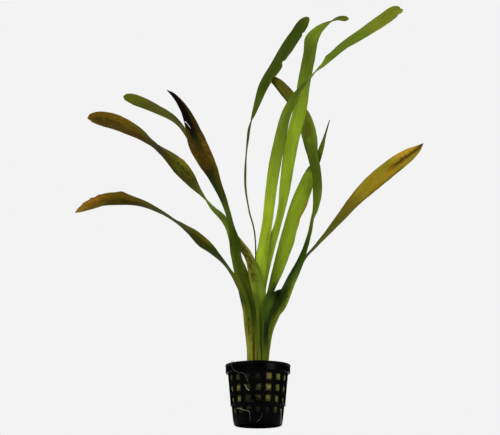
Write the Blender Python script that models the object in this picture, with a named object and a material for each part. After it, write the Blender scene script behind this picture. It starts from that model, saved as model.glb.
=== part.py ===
"""Potted vallisneria: ten ribbon leaves and their roots on a short crown, in a wool plug in a black net pot.

Metres, +Z up. The origin is the middle of the pot's foot, and the front of the pot faces -Y.
Lengths below are in millimetres and angles in degrees. new_object() turns them into metres.
"""

import math

import bmesh
import bpy
from mathutils import Vector

MM = 0.001

# Net pot
POT_HEIGHT = 49.0
RIM_RADIUS = 25.5
RIM_SKIRT_HEIGHT = 7.4
WALL = 1.1
FLOOR = 1.2
WINDOW_COLUMNS = 16
WINDOW_SHARE = 0.62  # of each column's pitch
WINDOW_HEIGHT = 5.4
WINDOW_PITCH = 8.65
LOWEST_WINDOW = 8.6
STEP_HEIGHT = 16.3
FOOT_RADIUS = 17.2
FOOT_SLOT_INNER = 5.5
FOOT_SLOT_OUTER = 14.5

# Wool plug and crown
CLEARANCE = 0.42
WOOL_TOP = 43.5
WOOL_SECTORS = 32
PIT_RADIUS = 10.6
PIT_BOTTOM = 30.0
CROWN_RADIUS = 8.0
CROWN_BOTTOM = 30.6
CROWN_TOP = 40.4

# Leaves and roots
LEAF_THICKNESS = 0.8
LEAF_CUTS = 2  # sections from one listed point to the next
ROOT_RADIUS = 0.55
ROOT_SIDES = 6
ROOT_CUTS = 2

# The leaves are drawn as they look from a viewing point in front of the pot and below its foot.
# Right and up are measured at the pot, square to the line of sight through the picture's middle.
EYE = Vector((-5.8, -1500.0, -173.0))
PICTURE_MIDDLE_UP = 165.7
EYE_TILT = math.atan2(-EYE.z, -EYE.y) + math.asin(PICTURE_MIDDLE_UP / math.hypot(EYE.y, EYE.z))

# Each leaf from its base to its tip: right, up, depth behind the pot's axis, width seen, whole width.
# The width seen is less than the whole where the blade is turned, and negative past a twist.
LEAVES = {
    "leaf_low_left": [
        (-5, 42.2, -3.5, 4.4, 6.5),
        (-6.4, 60.6, -5, 4.8, 6.5),
        (-7.4, 84.4, -7.5, 6, 7),
        (-9.6, 100.2, -10, 5.2, 8),
        (-15.8, 116, -14, 3.6, 9),
        (-25.6, 128.8, -18, 3.1, 10),
        (-35.2, 139.2, -22, 5.7, 11),
        (-43.2, 146, -26, 8.3, 11),
        (-50.8, 153, -30, 6.7, 11),
        (-59, 159.2, -34, 3.5, 11),
        (-66.4, 163.8, -37, 1.9, 10.5),
        (-75.6, 169.6, -40, 3, 10.5),
        (-89, 176, -44, 4.9, 10.5),
        (-99.4, 179.2, -47, 7.1, 11),
        (-110.6, 181, -50, 9.9, 11),
        (-122.6, 179.6, -53, 9.2, 10),
        (-132.8, 175.8, -55, 7.3, 7.5),
        (-140, 172.2, -57, 4, 4),
        (-144.4, 169.6, -58, 0.6, 0.8),
    ],
    "leaf_brown_left": [
        (-6.2, 42.2, 3.5, 4, 6.5),
        (-5.8, 64.4, 4, 4, 6.5),
        (-7.4, 86, 4.5, 4.8, 7),
        (-11.4, 108.2, 4.5, 5.6, 7.5),
        (-16.6, 128.8, 3, 5.1, 8),
        (-19.8, 147.8, 1.5, 4.4, 8.5),
        (-25.6, 164, 3.5, 4.2, 9),
        (-35.2, 173.2, 8, 3.4, 10),
        (-40.6, 179.6, 11, 0, 11),
        (-44.6, 184.8, 13, -3.5, 12),
        (-49.4, 190.6, 15, -6.5, 13),
        (-55.2, 198.4, 17, -10, 13.5),
        (-61.4, 205.8, 20, -11.4, 13.5),
        (-68.2, 212.4, 23, -9.1, 13),
        (-77.2, 219.6, 28, -5, 12.5),
        (-84.4, 225.2, 31, -4.8, 12),
        (-93.2, 232, 35, -7.8, 12),
        (-102.8, 237.2, 39, -10.6, 12),
        (-113, 241.6, 43, -11.5, 12),
        (-124.2, 244.4, 46, -10.5, 10.5),
        (-131.2, 245.4, 48, -7, 7.5),
        (-134, 245.2, 48.5, -1.9, 2.4),
    ],
    "leaf_upper_left": [
        (1, 42.2, -7, 4.8, 6.5),
        (2.2, 60.6, -8, 6, 6.5),
        (2.2, 80.4, -9.5, 6.7, 7.5),
        (1.4, 97.8, -9.5, 9.8, 10),
        (-0.2, 112.2, -8.5, 10.9, 11.5),
        (-3.4, 125.6, -6, 9.7, 11),
        (-8.2, 137.2, 2.5, 7.8, 10),
        (-14.6, 146.2, 11, 5.2, 9),
        (-20.8, 159, 16.5, 2.4, 9),
        (-26.4, 175.6, 20, 2.4, 9),
        (-36.4, 199, 25, 3.2, 9.5),
        (-47.8, 220, 30, 3.6, 10),
        (-59.4, 236.4, 35, 4, 10),
        (-68.8, 245.8, 39, 4.9, 10),
        (-80.2, 251.8, 42.5, 6.7, 10),
        (-90.4, 256.4, 46, 7.9, 10),
        (-99.4, 260.2, 49, 7.5, 8),
        (-104.2, 261.4, 50, 4.9, 5),
        (-106, 261.4, 50.5, 1.6, 2),
    ],
    "leaf_dark_pointed": [
        (-3, 42.2, 0, 1.6, 5),
        (-3.4, 64.4, 0, 2.4, 6),
        (-5, 82.8, -1, 4.8, 7),
        (-7.4, 100.2, -2, 7.1, 8.5),
        (-11.4, 116, -3, 8.7, 9.5),
        (-15.6, 131.2, -4.5, 7.1, 9.5),
        (-17.6, 146.2, -8, 6.2, 9),
        (-20.4, 159, -12, 4, 9),
        (-23.4, 170.8, -15, 4, 9.5),
        (-28.4, 184.6, -18, 5.6, 10.5),
        (-34.6, 198.8, -21, 9, 12),
        (-41, 211.2, -24, 12.2, 13),
        (-47, 224, -27, 13.4, 13.8),
        (-52.2, 236.6, -29, 11.6, 12.5),
        (-56.2, 248.2, -31, 7.3, 8.5),
        (-62, 258, -32, 4.3, 5),
        (-67, 263.6, -33, 2.5, 3),
        (-71.6, 266.6, -34, 0.6, 0.8),
    ],
    "leaf_thin_strand": [
        (0, 42.2, 3.2, 4, 5),
        (-0.2, 68.4, 5, 3.2, 6),
        (-0.2, 100.2, 8.6, 2, 7.5),
        (-1, 130.4, 12.5, 1, 8.5),
        (-2.2, 154.2, 16, 0.8, 9),
        (-6.4, 171.6, 18.5, 1, 9),
        (-9.2, 187.6, 21, 1.5, 9),
        (-9.6, 201.8, 23, 1.8, 9),
        (-8.6, 217.8, 25, 0.9, 9),
        (-7, 233.6, 27, 1.9, 9),
        (-4.8, 242.6, 28, 0, 9.5),
        (-3, 247, 28.5, -2.9, 10),
        (0.4, 258.2, 30, -5.1, 11),
        (6, 272, 31, -7.2, 11.5),
        (15.8, 287.6, 32, -8.3, 11.5),
        (24.2, 301, 33, -9.2, 11),
        (31.4, 311.8, 34, -8.8, 10.5),
        (36.6, 319.8, 35, -7.7, 8),
        (40, 323.8, 36, -2.5, 2.6),
    ],
    "leaf_tall_right": [
        (0, 42.2, -3.2, 4, 5),
        (0.6, 64.4, -3.5, 4.8, 5.5),
        (1.8, 92.2, -3, 5.6, 6.5),
        (3, 117.6, -0.5, 6.4, 8),
        (5.4, 140, 2, 7.4, 8.5),
        (8.4, 163.8, 2, 7.8, 9),
        (11, 187.6, 2, 8.6, 10),
        (14, 208.2, 1, 9.6, 10.5),
        (18, 227.2, 0, 9.5, 10.5),
        (22.8, 247, -2, 8.1, 10.5),
        (30, 260.6, -4, 6.7, 10.5),
        (37.8, 271.4, -7, 3.4, 10.5),
        (45.8, 281.2, -10, 0, 10.5),
        (51.6, 286.6, -12, -2.9, 10.5),
        (57.8, 293.2, -14, -5.2, 10.5),
        (69.4, 302.6, -17, -6.2, 11),
        (85.6, 313.2, -21, -7.9, 11),
        (99.4, 323, -25, -9.1, 11),
        (108.8, 329.6, -27, -8.6, 10),
        (113.6, 330.4, -28, -4.8, 5),
        (115.2, 330.6, -28.5, -1.7, 2),
    ],
    "leaf_tall_centre": [
        (3, 42.2, 0.5, 1.2, 4.5),
        (3.4, 64.4, 2, 2.4, 5),
        (4.6, 90.6, 4, 4.6, 6),
        (6.2, 110.6, 6, 4, 7),
        (10, 140, 7, 6.5, 8),
        (16, 159, 8.5, 5.7, 8.5),
        (19.4, 173.2, 9, 6.2, 9.5),
        (22, 189.2, 9, 8.7, 10.5),
        (25.2, 211.4, 9, 9.2, 10.5),
        (29.2, 231.2, 9, 9.6, 10.8),
        (33.6, 252.6, 8.5, 9.7, 10.8),
        (37.8, 273.2, 8, 9.4, 10.5),
        (41.2, 293.8, 8, 9.6, 10.5),
        (43.6, 306.6, 8, 9.9, 10.5),
        (47.4, 313.2, 8, 7.5, 10),
        (53.2, 318.2, 9, 4.4, 9),
        (59, 321.6, 10, 0, 8),
        (64.8, 323.8, 12, -3.1, 6.5),
        (70, 323.6, 13, -3.3, 4),
        (72.4, 323.4, 13.5, -1.2, 1.5),
    ],
    "leaf_curled_back": [
        (5.2, 42.2, 4.5, 2.4, 6),
        (8, 60.6, 3.5, 3.8, 6),
        (11.6, 80.4, 2, 5.6, 7),
        (18.4, 97, -0.5, 7, 9),
        (24.6, 112.2, -3, 7, 8.5),
        (32.4, 127.6, -2, 5.6, 8.5),
        (37.6, 139.8, 1, 4.1, 9),
        (41.2, 152.6, 4, 2.6, 9.5),
        (43.6, 163.8, 6.5, 0, 10),
        (46.2, 172.4, 8, -4, 10),
        (47.8, 186, 10, -6.9, 10),
        (46.8, 199.4, 13, -6.4, 10.5),
        (44.2, 215.4, 16, -8.4, 11),
        (41.2, 230.4, 20, -11.1, 12),
        (37.6, 243.2, 24, -11.1, 12),
        (31.6, 254.2, 27, -9.5, 11),
        (25.4, 262.4, 30, -8.6, 10),
        (18.2, 270.4, 33, -7.5, 9),
        (12, 275.8, 35, -5.2, 6),
        (8, 278.6, 36, -1.6, 2),
    ],
    "leaf_broad_right": [
        (0, 42.2, 7.5, 4, 6),
        (2.2, 64.4, 8.5, 4.8, 6),
        (6.2, 90.6, 11, 4.8, 6.5),
        (10.8, 108.2, 13, 6, 7.5),
        (16, 124, 15, 8.4, 9.5),
        (22, 142.2, 17, 10.5, 11),
        (27, 158.2, 19, 10.9, 12),
        (32.4, 175.6, 20, 11.8, 12.5),
        (38.2, 190, 20.5, 11.1, 12),
        (42.6, 201, 22.8, 7.9, 9),
        (47, 210.6, 25, 4, 5),
        (50.6, 220.8, 27, 3.4, 4),
        (53.6, 230.4, 29, 1.9, 2.5),
        (57.4, 243.2, 32, 0.6, 0.8),
    ],
    "leaf_far_right": [
        (6.6, 42.2, -3, 2.4, 6),
        (5.8, 62, -8.5, 4.4, 6),
        (6.2, 78, -11, 5.6, 7),
        (8, 90.6, -12, 8.2, 9.5),
        (11.2, 99.2, -11, 9.1, 10.5),
        (15, 104.2, -5, 4.9, 8),
        (20.6, 108.6, 10, 2.4, 7.5),
        (24.8, 114.8, 13.5, 2.4, 8.5),
        (31.2, 124, 15, 2.2, 9.5),
        (38.2, 134.4, 15, 1.6, 10),
        (45.8, 142.6, 13.5, 2.5, 10),
        (51.6, 148.8, 12, 3.4, 10.5),
        (64.6, 164.2, 9, 6.2, 11.5),
        (75.6, 177.4, 5, 9.1, 12.5),
        (87.6, 189.8, 0, 12.1, 13),
        (99.8, 200.2, -6, 12.8, 13),
        (111.8, 209.4, -12, 11.8, 12),
        (120.6, 215.6, -16, 9.5, 9.8),
        (127, 220.2, -19, 5.2, 5.5),
        (131.6, 224.4, -21, 0.6, 0.8),
    ],
}

# Which way a turned blade leans: 1 takes its right edge away from the viewer, -1 its left edge.
LEANS = {
    "leaf_low_left": -1,
    "leaf_brown_left": 1,
    "leaf_upper_left": 1,
    "leaf_dark_pointed": -1,
    "leaf_thin_strand": 1,
    "leaf_tall_right": 1,
    "leaf_tall_centre": 1,
    "leaf_curled_back": -1,
    "leaf_broad_right": -1,
    "leaf_far_right": 1,
}

# Each root as points round the pot: angle to the right of the front, radius, height.
ROOTS = {
    "root_over_rim": [
        (-86, 9.0, 38.2),
        (-84, 9.6, 44.5),
        (-78, 11.5, 49),
        (-66, 16.5, 50.6),
        (-56, 22, 50.6),
        (-51.5, 25.6, 50.2),
        (-49.5, 27.1, 48),
        (-46, 26.8, 45),
        (-40, 25.9, 41.2),
        (-32, 24.9, 39.9),
        (-24, 24.5, 39.6),
        (-19, 24.4, 36.4),
        (-16, 24, 31.2),
    ],
    "root_front_upper": [
        (-25.5, 22.3, 30),
        (-24.5, 23.4, 29.8),
        (-22, 23.9, 28.5),
        (-18, 23.7, 26.4),
        (-15, 23.3, 25),
    ],
    "root_front_lower": [
        (-44, 19.8, 12.6),
        (-42, 20.9, 12.4),
        (-37, 21.3, 12),
        (-31, 21.3, 11.3),
        (-25, 21.1, 10.4),
        (-19, 21, 9.2),
    ],
    "root_foot": [
        (-4, 19.7, 10.4),
        (-3, 21, 8.8),
        (-1, 20.7, 6),
        (2, 20.4, 4),
        (5, 20.3, 3),
    ],
    "root_right": [
        (66, 19.7, 11),
        (68, 20.9, 9),
        (72, 20.7, 6.2),
        (75, 20.4, 3.8),
        (77, 20.2, 2.2),
    ],
    "root_back_upper": [
        (-135, 22.9, 38),
        (-137, 24.4, 37),
        (-141, 24.5, 34),
        (-143, 24.1, 30),
        (-141, 23.8, 27),
    ],
    "root_back_lower": [
        (157, 21.4, 21.5),
        (156, 22.8, 20.4),
        (153, 23, 18),
        (151, 22.6, 14.6),
        (150, 21.4, 11),
        (152, 21, 7.5),
        (156, 20.6, 4.5),
    ],
}

# Colour in linear light, roughness
FINISHES = {
    "black polypropylene": ((0.004, 0.004, 0.004), 0.35),
    "mineral wool": ((0.20, 0.21, 0.05), 0.95),
    "crown": ((0.36, 0.33, 0.12), 0.6),
    "root": ((0.65, 0.60, 0.45), 0.5),
    "green leaf": ((0.24, 0.35, 0.03), 0.45),
    "dark green leaf": ((0.06, 0.09, 0.006), 0.45),
    "browning leaf": ((0.14, 0.10, 0.01), 0.5),
    "dying leaf": ((0.04, 0.02, 0.004), 0.5),
}
LEAF_FINISHES = {
    "leaf_low_left": "browning leaf",
    "leaf_brown_left": "browning leaf",
    "leaf_upper_left": "dark green leaf",
    "leaf_dark_pointed": "dying leaf",
    "leaf_thin_strand": "dark green leaf",
    "leaf_curled_back": "dark green leaf",
    "leaf_far_right": "browning leaf",
}


def clear_scene():
    for obj in list(bpy.data.objects):
        bpy.data.objects.remove(obj)


def finish_of(name):
    """The named material, made the first time that it's asked for."""
    material = bpy.data.materials.get(name)
    if material is None:
        colour, roughness = FINISHES[name]
        material = bpy.data.materials.new(name)
        material.use_nodes = True
        shader = material.node_tree.nodes["Principled BSDF"]
        shader.inputs["Base Color"].default_value = (*colour, 1.0)
        shader.inputs["Roughness"].default_value = roughness
        shader.inputs["Metallic"].default_value = 0.0
        material.diffuse_color = (*colour, 1.0)
    return material


def new_object(name, points, faces, finish, sharp_angle=35.0):
    """A closed mesh object from points in millimetres, shaded smooth but for edges over the sharp angle."""
    mesh = bpy.data.meshes.new(name)
    mesh.from_pydata([Vector(p) * MM for p in points], [], faces)
    model = bmesh.new()
    model.from_mesh(mesh)
    bmesh.ops.recalc_face_normals(model, faces=model.faces)
    model.to_mesh(mesh)
    model.free()
    mesh.shade_smooth()
    mesh.set_sharp_from_angle(angle=math.radians(sharp_angle))
    mesh.materials.append(finish_of(finish))
    obj = bpy.data.objects.new(name, mesh)
    bpy.context.scene.collection.objects.link(obj)
    return obj


def spline(rows, cuts):
    """Catmull-Rom values through rows of numbers, with this many steps from each row to the next."""
    rows = [tuple(map(float, row)) for row in rows]
    first = tuple(2 * a - b for a, b in zip(rows[0], rows[1]))
    last = tuple(2 * a - b for a, b in zip(rows[-1], rows[-2]))
    padded = [first, *rows, last]
    values = []
    for index in range(len(rows) - 1):
        before, start, end, after = padded[index : index + 4]
        for cut in range(cuts):
            t = cut / cuts
            values.append(
                tuple(
                    0.5 * (2 * b + (c - a) * t + (2 * a - 5 * b + 4 * c - d) * t**2 + (3 * b - a - 3 * c + d) * t**3)
                    for a, b, c, d in zip(before, start, end, after)
                )
            )
    values.append(rows[-1])
    return values


def loft(sections):
    """Faces of a closed tube through sections of as many points each, with a flat cap at both ends."""
    count = len(sections[0])
    points = [point for section in sections for point in section]
    faces = []
    for ring in range(len(sections) - 1):
        for side in range(count):
            other = (side + 1) % count
            low, high = ring * count, (ring + 1) * count
            faces.append((low + side, low + other, high + other, high + side))
    faces.append(tuple(range(count)))
    faces.append(tuple(range(len(points) - count, len(points))))
    return points, faces


def tangent(points, index):
    ahead = points[min(index + 1, len(points) - 1)]
    behind = points[max(index - 1, 0)]
    return (ahead - behind).normalized()


def sight(right, up, depth):
    """The point at this depth on the line of sight, and how much further off it is than the pot."""
    seen = -EYE + Vector((right, -up * math.sin(EYE_TILT), up * math.cos(EYE_TILT)))
    share = (depth - EYE.y) / seen.y
    return EYE + seen * share, share


def make_leaf(name):
    """A ribbon leaf with a lens-shaped section, turned so that the viewer sees the listed width."""
    rows = spline(LEAVES[name], LEAF_CUTS)
    places = [sight(*row[:3]) for row in rows]
    line = [place for place, _ in places]
    sections = []
    for index, (_, _, _, seen_width, width) in enumerate(rows):
        place, share = places[index]
        along = tangent(line, index)
        side = (place - EYE).cross(along).normalized()
        away = along.cross(side)
        facing = max(-1.0, min(1.0, seen_width * share / width))
        across = side * facing + away * LEANS[name] * math.sqrt(1 - facing**2)
        normal = along.cross(across)
        thickness = min(LEAF_THICKNESS, 0.4 * width)
        sections.append(
            [
                place + across * width * u + normal * thickness * v
                for u, v in ((-0.5, 0), (-0.28, -0.5), (0.28, -0.5), (0.5, 0), (0.28, 0.5), (-0.28, 0.5))
            ]
        )
    new_object(name, *loft(sections), LEAF_FINISHES.get(name, "green leaf"))


def around(angle, radius, height):
    """A point round the pot's axis, at an angle to the right of the front."""
    turn = math.radians(angle)
    return Vector((radius * math.sin(turn), -radius * math.cos(turn), height))


def make_root(name):
    """A thin round strand through its listed points, tapered to its tip."""
    line = [around(*row) for row in spline(ROOTS[name], ROOT_CUTS)]
    sections = []
    for index, place in enumerate(line):
        along = tangent(line, index)
        side = along.cross(Vector((place.x, place.y, 0))).normalized()
        out = side.cross(along)
        radius = ROOT_RADIUS * (1 - 0.4 * index / len(line))
        turns = [math.tau * step / ROOT_SIDES for step in range(ROOT_SIDES)]
        sections.append([place + side * radius * math.cos(t) + out * radius * math.sin(t) for t in turns])
    new_object(name, *loft(sections), "root", sharp_angle=80.0)


def window_rows():
    """The bottom and top of each row of windows, lowest first."""
    bottoms = [LOWEST_WINDOW + WINDOW_PITCH * row for row in range(4)]
    return [(bottom, bottom + WINDOW_HEIGHT) for bottom in bottoms]


def wall_radius(height):
    """The pot wall's outer radius, which has a step and a slight taper on both sides of it."""
    if height < STEP_HEIGHT:
        return 18.9 + 1.75 * height / STEP_HEIGHT
    return 21.4 + 2.1 * (height - STEP_HEIGHT) / (POT_HEIGHT - RIM_SKIRT_HEIGHT - STEP_HEIGHT)


def pot_profile():
    """Pairs of outer and inner points (radius, height), from the foot's middle to the rim."""
    skirt = POT_HEIGHT - RIM_SKIRT_HEIGHT
    pairs = [
        ((FOOT_SLOT_INNER, 0), (FOOT_SLOT_INNER, FLOOR)),
        ((FOOT_SLOT_OUTER, 0), (FOOT_SLOT_OUTER, FLOOR)),
        ((FOOT_RADIUS, 0), (FOOT_RADIUS - 0.4, FLOOR)),
        ((FOOT_RADIUS + 1.1, 0.5), (FOOT_RADIUS + 0.1, 1.7)),
        ((FOOT_RADIUS + 1.8, 1.7), (FOOT_RADIUS + 0.7, 2.6)),
    ]
    (row_4, row_3, row_2, row_1) = window_rows()
    for height in row_4:
        pairs.append(((wall_radius(height), height), (wall_radius(height) - WALL, height)))
    pairs.append(((20.6, STEP_HEIGHT - 0.1), (19.5, STEP_HEIGHT - 0.4)))
    pairs.append(((21.7, STEP_HEIGHT), (19.9, STEP_HEIGHT + 0.4)))
    for height in (*row_3, *row_2, *row_1):
        pairs.append(((wall_radius(height), height), (wall_radius(height) - WALL, height)))
    pairs.append(((wall_radius(skirt), skirt - 0.1), (wall_radius(skirt) - WALL, skirt - 0.1)))
    pairs.append(((RIM_RADIUS - 0.4, skirt), (22.9, skirt + 1.0)))
    pairs.append(((RIM_RADIUS, POT_HEIGHT - 0.6), (23.4, POT_HEIGHT - 0.6)))
    pairs.append(((RIM_RADIUS - 0.5, POT_HEIGHT), (23.9, POT_HEIGHT)))
    return pairs


def column_angles():
    """Angles of the wall's upright edges: the two sides of each window, round the pot from the front."""
    pitch = 360.0 / WINDOW_COLUMNS
    half = pitch * WINDOW_SHARE / 2
    angles = []
    for column in range(WINDOW_COLUMNS):
        angles.extend((column * pitch - half, column * pitch + half))
    return angles


def is_window(column, bottom, pairs):
    """True for a cell that's left open: the wall's windows, and a slot under every other one in the foot."""
    if column % 2:
        return False
    if bottom == 0:
        return column % 4 == 0
    height = pairs[bottom][0][1]
    return any(abs(height - low) < 1e-6 for low, _ in window_rows())


def make_pot():
    """The lattice pot: an outer and an inner skin on one grid, open at the windows and joined round them."""
    pairs = pot_profile()
    angles = column_angles()
    rings, columns = len(pairs), len(angles)
    points = [Vector((0, 0, 0)), Vector((0, 0, FLOOR))]
    for outer, inner in pairs:
        points.extend(around(angle, *outer) for angle in angles)
        points.extend(around(angle, *inner) for angle in angles)

    def skin(ring, column, inside):
        return 2 + (2 * ring + inside) * columns + column % columns

    faces = []
    for column in range(columns):
        faces.append((0, skin(0, column, 0), skin(0, column + 1, 0)))
        faces.append((1, skin(0, column, 1), skin(0, column + 1, 1)))
        top = rings - 1
        faces.append((skin(top, column, 0), skin(top, column + 1, 0), skin(top, column + 1, 1), skin(top, column, 1)))
    for ring in range(rings - 1):
        for column in range(columns):
            corners = ((ring, column), (ring, column + 1), (ring + 1, column + 1), (ring + 1, column))
            if not is_window(column, ring, pairs):
                faces.extend(tuple(skin(r, c, inside) for r, c in corners) for inside in (0, 1))
                continue
            for (r1, c1), (r2, c2) in zip(corners, corners[1:] + corners[:1]):
                faces.append((skin(r1, c1, 0), skin(r2, c2, 0), skin(r2, c2, 1), skin(r1, c1, 1)))
    new_object("net_pot", points, faces, "black polypropylene")


def turned(name, profile, sectors, finish):
    """A solid of revolution from a profile (radius, height) that starts and ends on the axis."""
    angles = [360.0 * step / sectors for step in range(sectors)]
    points = [Vector((0, 0, profile[0][1])), Vector((0, 0, profile[-1][1]))]
    for radius, height in profile[1:-1]:
        points.extend(around(angle, radius, height) for angle in angles)
    rings = len(profile) - 2
    faces = []
    for step in range(sectors):
        other = (step + 1) % sectors
        faces.append((0, 2 + step, 2 + other))
        last = 2 + (rings - 1) * sectors
        faces.append((1, last + step, last + other))
        for ring in range(rings - 1):
            low, high = 2 + ring * sectors, 2 + (ring + 1) * sectors
            faces.append((low + step, low + other, high + other, high + step))
    return new_object(name, points, faces, finish)


def make_wool():
    """The plug that fills the pot to just under the rim, with a pit for the crown."""
    inset = WALL + CLEARANCE + 0.15
    profile = [
        (0, FLOOR + CLEARANCE),
        (FOOT_RADIUS - 1, FLOOR + CLEARANCE),
        (FOOT_RADIUS + 0.1, 3.0),
        (wall_radius(LOWEST_WINDOW) - inset, LOWEST_WINDOW),
        (wall_radius(STEP_HEIGHT - 1) - inset, STEP_HEIGHT - 1),
        (wall_radius(STEP_HEIGHT) - inset - 0.4, STEP_HEIGHT + 1.5),
        (wall_radius(WOOL_TOP - 6) - inset, WOOL_TOP - 6),
        (wall_radius(WOOL_TOP - 1.4) - inset, WOOL_TOP - 1.4),
        (wall_radius(WOOL_TOP) - inset - 1.6, WOOL_TOP),
        (PIT_RADIUS + 2, WOOL_TOP),
        (PIT_RADIUS, WOOL_TOP - 1.2),
        (PIT_RADIUS - 0.2, WOOL_TOP - 7),
        (PIT_RADIUS - 2.6, PIT_BOTTOM + 1.2),
        (PIT_RADIUS - 5, PIT_BOTTOM),
        (0, PIT_BOTTOM),
    ]
    turned("rockwool_plug", profile, WOOL_SECTORS, "mineral wool")


def make_crown():
    """The short rhizome: a squat knob, narrower at its foot, that stands in the wool's pit."""
    height = CROWN_TOP - CROWN_BOTTOM
    shape = ((0.45, 0.0), (0.72, 0.1), (0.92, 0.34), (1.0, 0.62), (0.94, 0.86), (0.7, 0.97))
    profile = [(CROWN_RADIUS * across, CROWN_BOTTOM + height * up) for across, up in shape]
    turned("crown", [(0, CROWN_BOTTOM), *profile, (0, CROWN_TOP)], 24, "crown")


def main():
    clear_scene()
    make_pot()
    make_wool()
    make_crown()
    for name in LEAVES:
        make_leaf(name)
    for name in ROOTS:
        make_root(name)


main()
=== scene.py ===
"""Potted vallisneria: the looks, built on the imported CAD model.

Metres, +Z up. The front of the pot faces -Y, and the middle of its foot is the origin.
The tables below are in millimetres and degrees, as they are in the part's source.
"""

import math

import bmesh
import bpy
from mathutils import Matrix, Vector, noise


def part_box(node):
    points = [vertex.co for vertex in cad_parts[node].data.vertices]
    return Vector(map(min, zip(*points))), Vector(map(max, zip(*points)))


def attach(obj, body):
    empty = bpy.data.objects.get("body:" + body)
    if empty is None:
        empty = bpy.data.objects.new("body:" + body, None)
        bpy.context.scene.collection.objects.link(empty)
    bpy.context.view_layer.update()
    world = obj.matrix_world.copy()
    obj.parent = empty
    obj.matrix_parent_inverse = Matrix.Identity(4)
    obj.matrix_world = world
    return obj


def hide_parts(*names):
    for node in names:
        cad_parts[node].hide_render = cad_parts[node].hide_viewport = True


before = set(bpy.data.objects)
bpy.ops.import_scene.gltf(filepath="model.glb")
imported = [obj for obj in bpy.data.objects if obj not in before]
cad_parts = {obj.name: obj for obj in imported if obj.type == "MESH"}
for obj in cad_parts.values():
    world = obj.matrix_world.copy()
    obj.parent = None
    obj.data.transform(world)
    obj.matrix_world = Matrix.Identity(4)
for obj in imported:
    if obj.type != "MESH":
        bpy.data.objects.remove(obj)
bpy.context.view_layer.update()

bl_info = {
    "name": "Potted Vallisneria",
    "version": (1, 0, 0),
    "blender": (4, 5, 0),
    "location": "3D View > Sidebar > Vallisneria",
    "description": "Builds a potted aquarium plant's blades, roots, wool plug and net pot on its CAD frame",
    "category": "Add Mesh",
}

MM = 0.001
POT_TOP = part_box("net_pot")[1].z

# The viewing point that the blades are drawn from, and the height at the pot's axis that its picture
# is centred on.
EYE = Vector((-6.35, -1500.0, -173.0))
PICTURE_MIDDLE_UP = 165.7
EYE_TILT = math.atan2(-EYE.z, -EYE.y) + math.asin(PICTURE_MIDDLE_UP / math.hypot(EYE.y, EYE.z))
PICTURE_WIDTH = 397.0  # at the pot

# Net pot
SECTORS = 8  # equal parts of the pot, each with two columns of windows
WINDOW_TURN = 22.5  # degrees from one column of windows to the next
WINDOW_SHARE = 0.62  # of that turn
WINDOW_ROWS = 4
LOWEST_WINDOW = 8.6
WINDOW_HEIGHT = 5.4
WINDOW_PITCH = 8.65
STEP_HEIGHT = 16.3
SKIRT_BOTTOM = 42.0
FLOOR = 1.2
LOWER_RADIUS = 19.25  # of the wall at the foot
LOWER_SPREAD = 1.65  # by which it widens up to the step
UPPER_RADIUS = 21.65  # of the wall just over the step
UPPER_SPREAD = 2.3  # by which it widens up to the skirt
RIB_TURN = 0.7  # degrees from a window's side to the upright rib beside it
RIB_BOTTOM = 1.7

# Wool plug and crown
WOOL_TOP = 43.5
WOOL_INSET = 1.67  # from the outside of the pot's wall to the wool
WOOL_RADIUS = 21.0  # roughly, where the damp and clean places are set out
WOOL_STEP = 0.6  # from one ring of the plug's surface to the next
WOOL_SECTORS = 160
LUMP_SIZE = 2.6
TEAR_SIZE = 0.9
PIT_RADIUS = 10.6
PIT_BOTTOM = 30.0
CROWN_RISE = 2.4  # above the CAD's crown, hidden between the blades
CROWN_SECTORS = 64

# Blades
FOOT_RUN = 3.0  # how far each foot runs on into the crown
THICKEST_SHARE = 0.22  # of the width, in thickness
EDGE_ON = 0.35  # share of the width seen under which a blade counts as edge-on
RAGGED_SHARE = 0.035  # of the half width, by which an edge strays
RAGGED_LENGTH = 6.0  # along the edge, for one such stray
TIP_SHARE = 0.35  # of the last width, in the tip's length
GROOVE_HALF_WIDTH = 0.9  # of the midrib's groove
RIPPLES_START = 0.1  # share of the length from which the edges begin to wave
RIPPLES_FULL = 0.35  # and from which they wave fully
SCAR_CORE = 0.001  # share of the blade's length on each side of a torn line that's fully painted in the backdrop's pale colour
SCAR_REACH = 0.0024  # and the share where that paint ends
MARK_SOFTNESS_ALONG = 0.018  # of the blade's length, on each side of a mark's end
MARK_SOFTNESS_ACROSS = 0.22  # of the half width, on each side of a mark's edge
BLOTCH_RANGE = 0.4  # of the pattern's range, that most of its values lie in
BLOTCH_SOFTNESS = 0.05  # of the pattern's range, on each side of a blotch's edge

# Steps from one piece's patterns to the next one's, so that no two pieces are alike.
FINISH_STEP = 5.3
RIPPLE_STEP = 7.7
STRAY_STEP = 3.3

# Roots
ROOT_CUTS = 6  # from one listed point to the next
ROOT_STEP = 0.35  # from one ring of a root's skin to the next

# The length of one wave of the Wave Texture node at a scale of 1, in metres.
WAVE_LENGTH = 0.314

# Stage, in metres
FLOOR_RADIUS = 8.0
FLOOR_SIDES = 96
FLOOR_LEVEL = -0.05 * MM  # just under the pot's foot
LIGHT_AIM = Vector((0, 0, 0.15))
SENSOR_WIDTH = 36.0  # in millimetres

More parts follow.
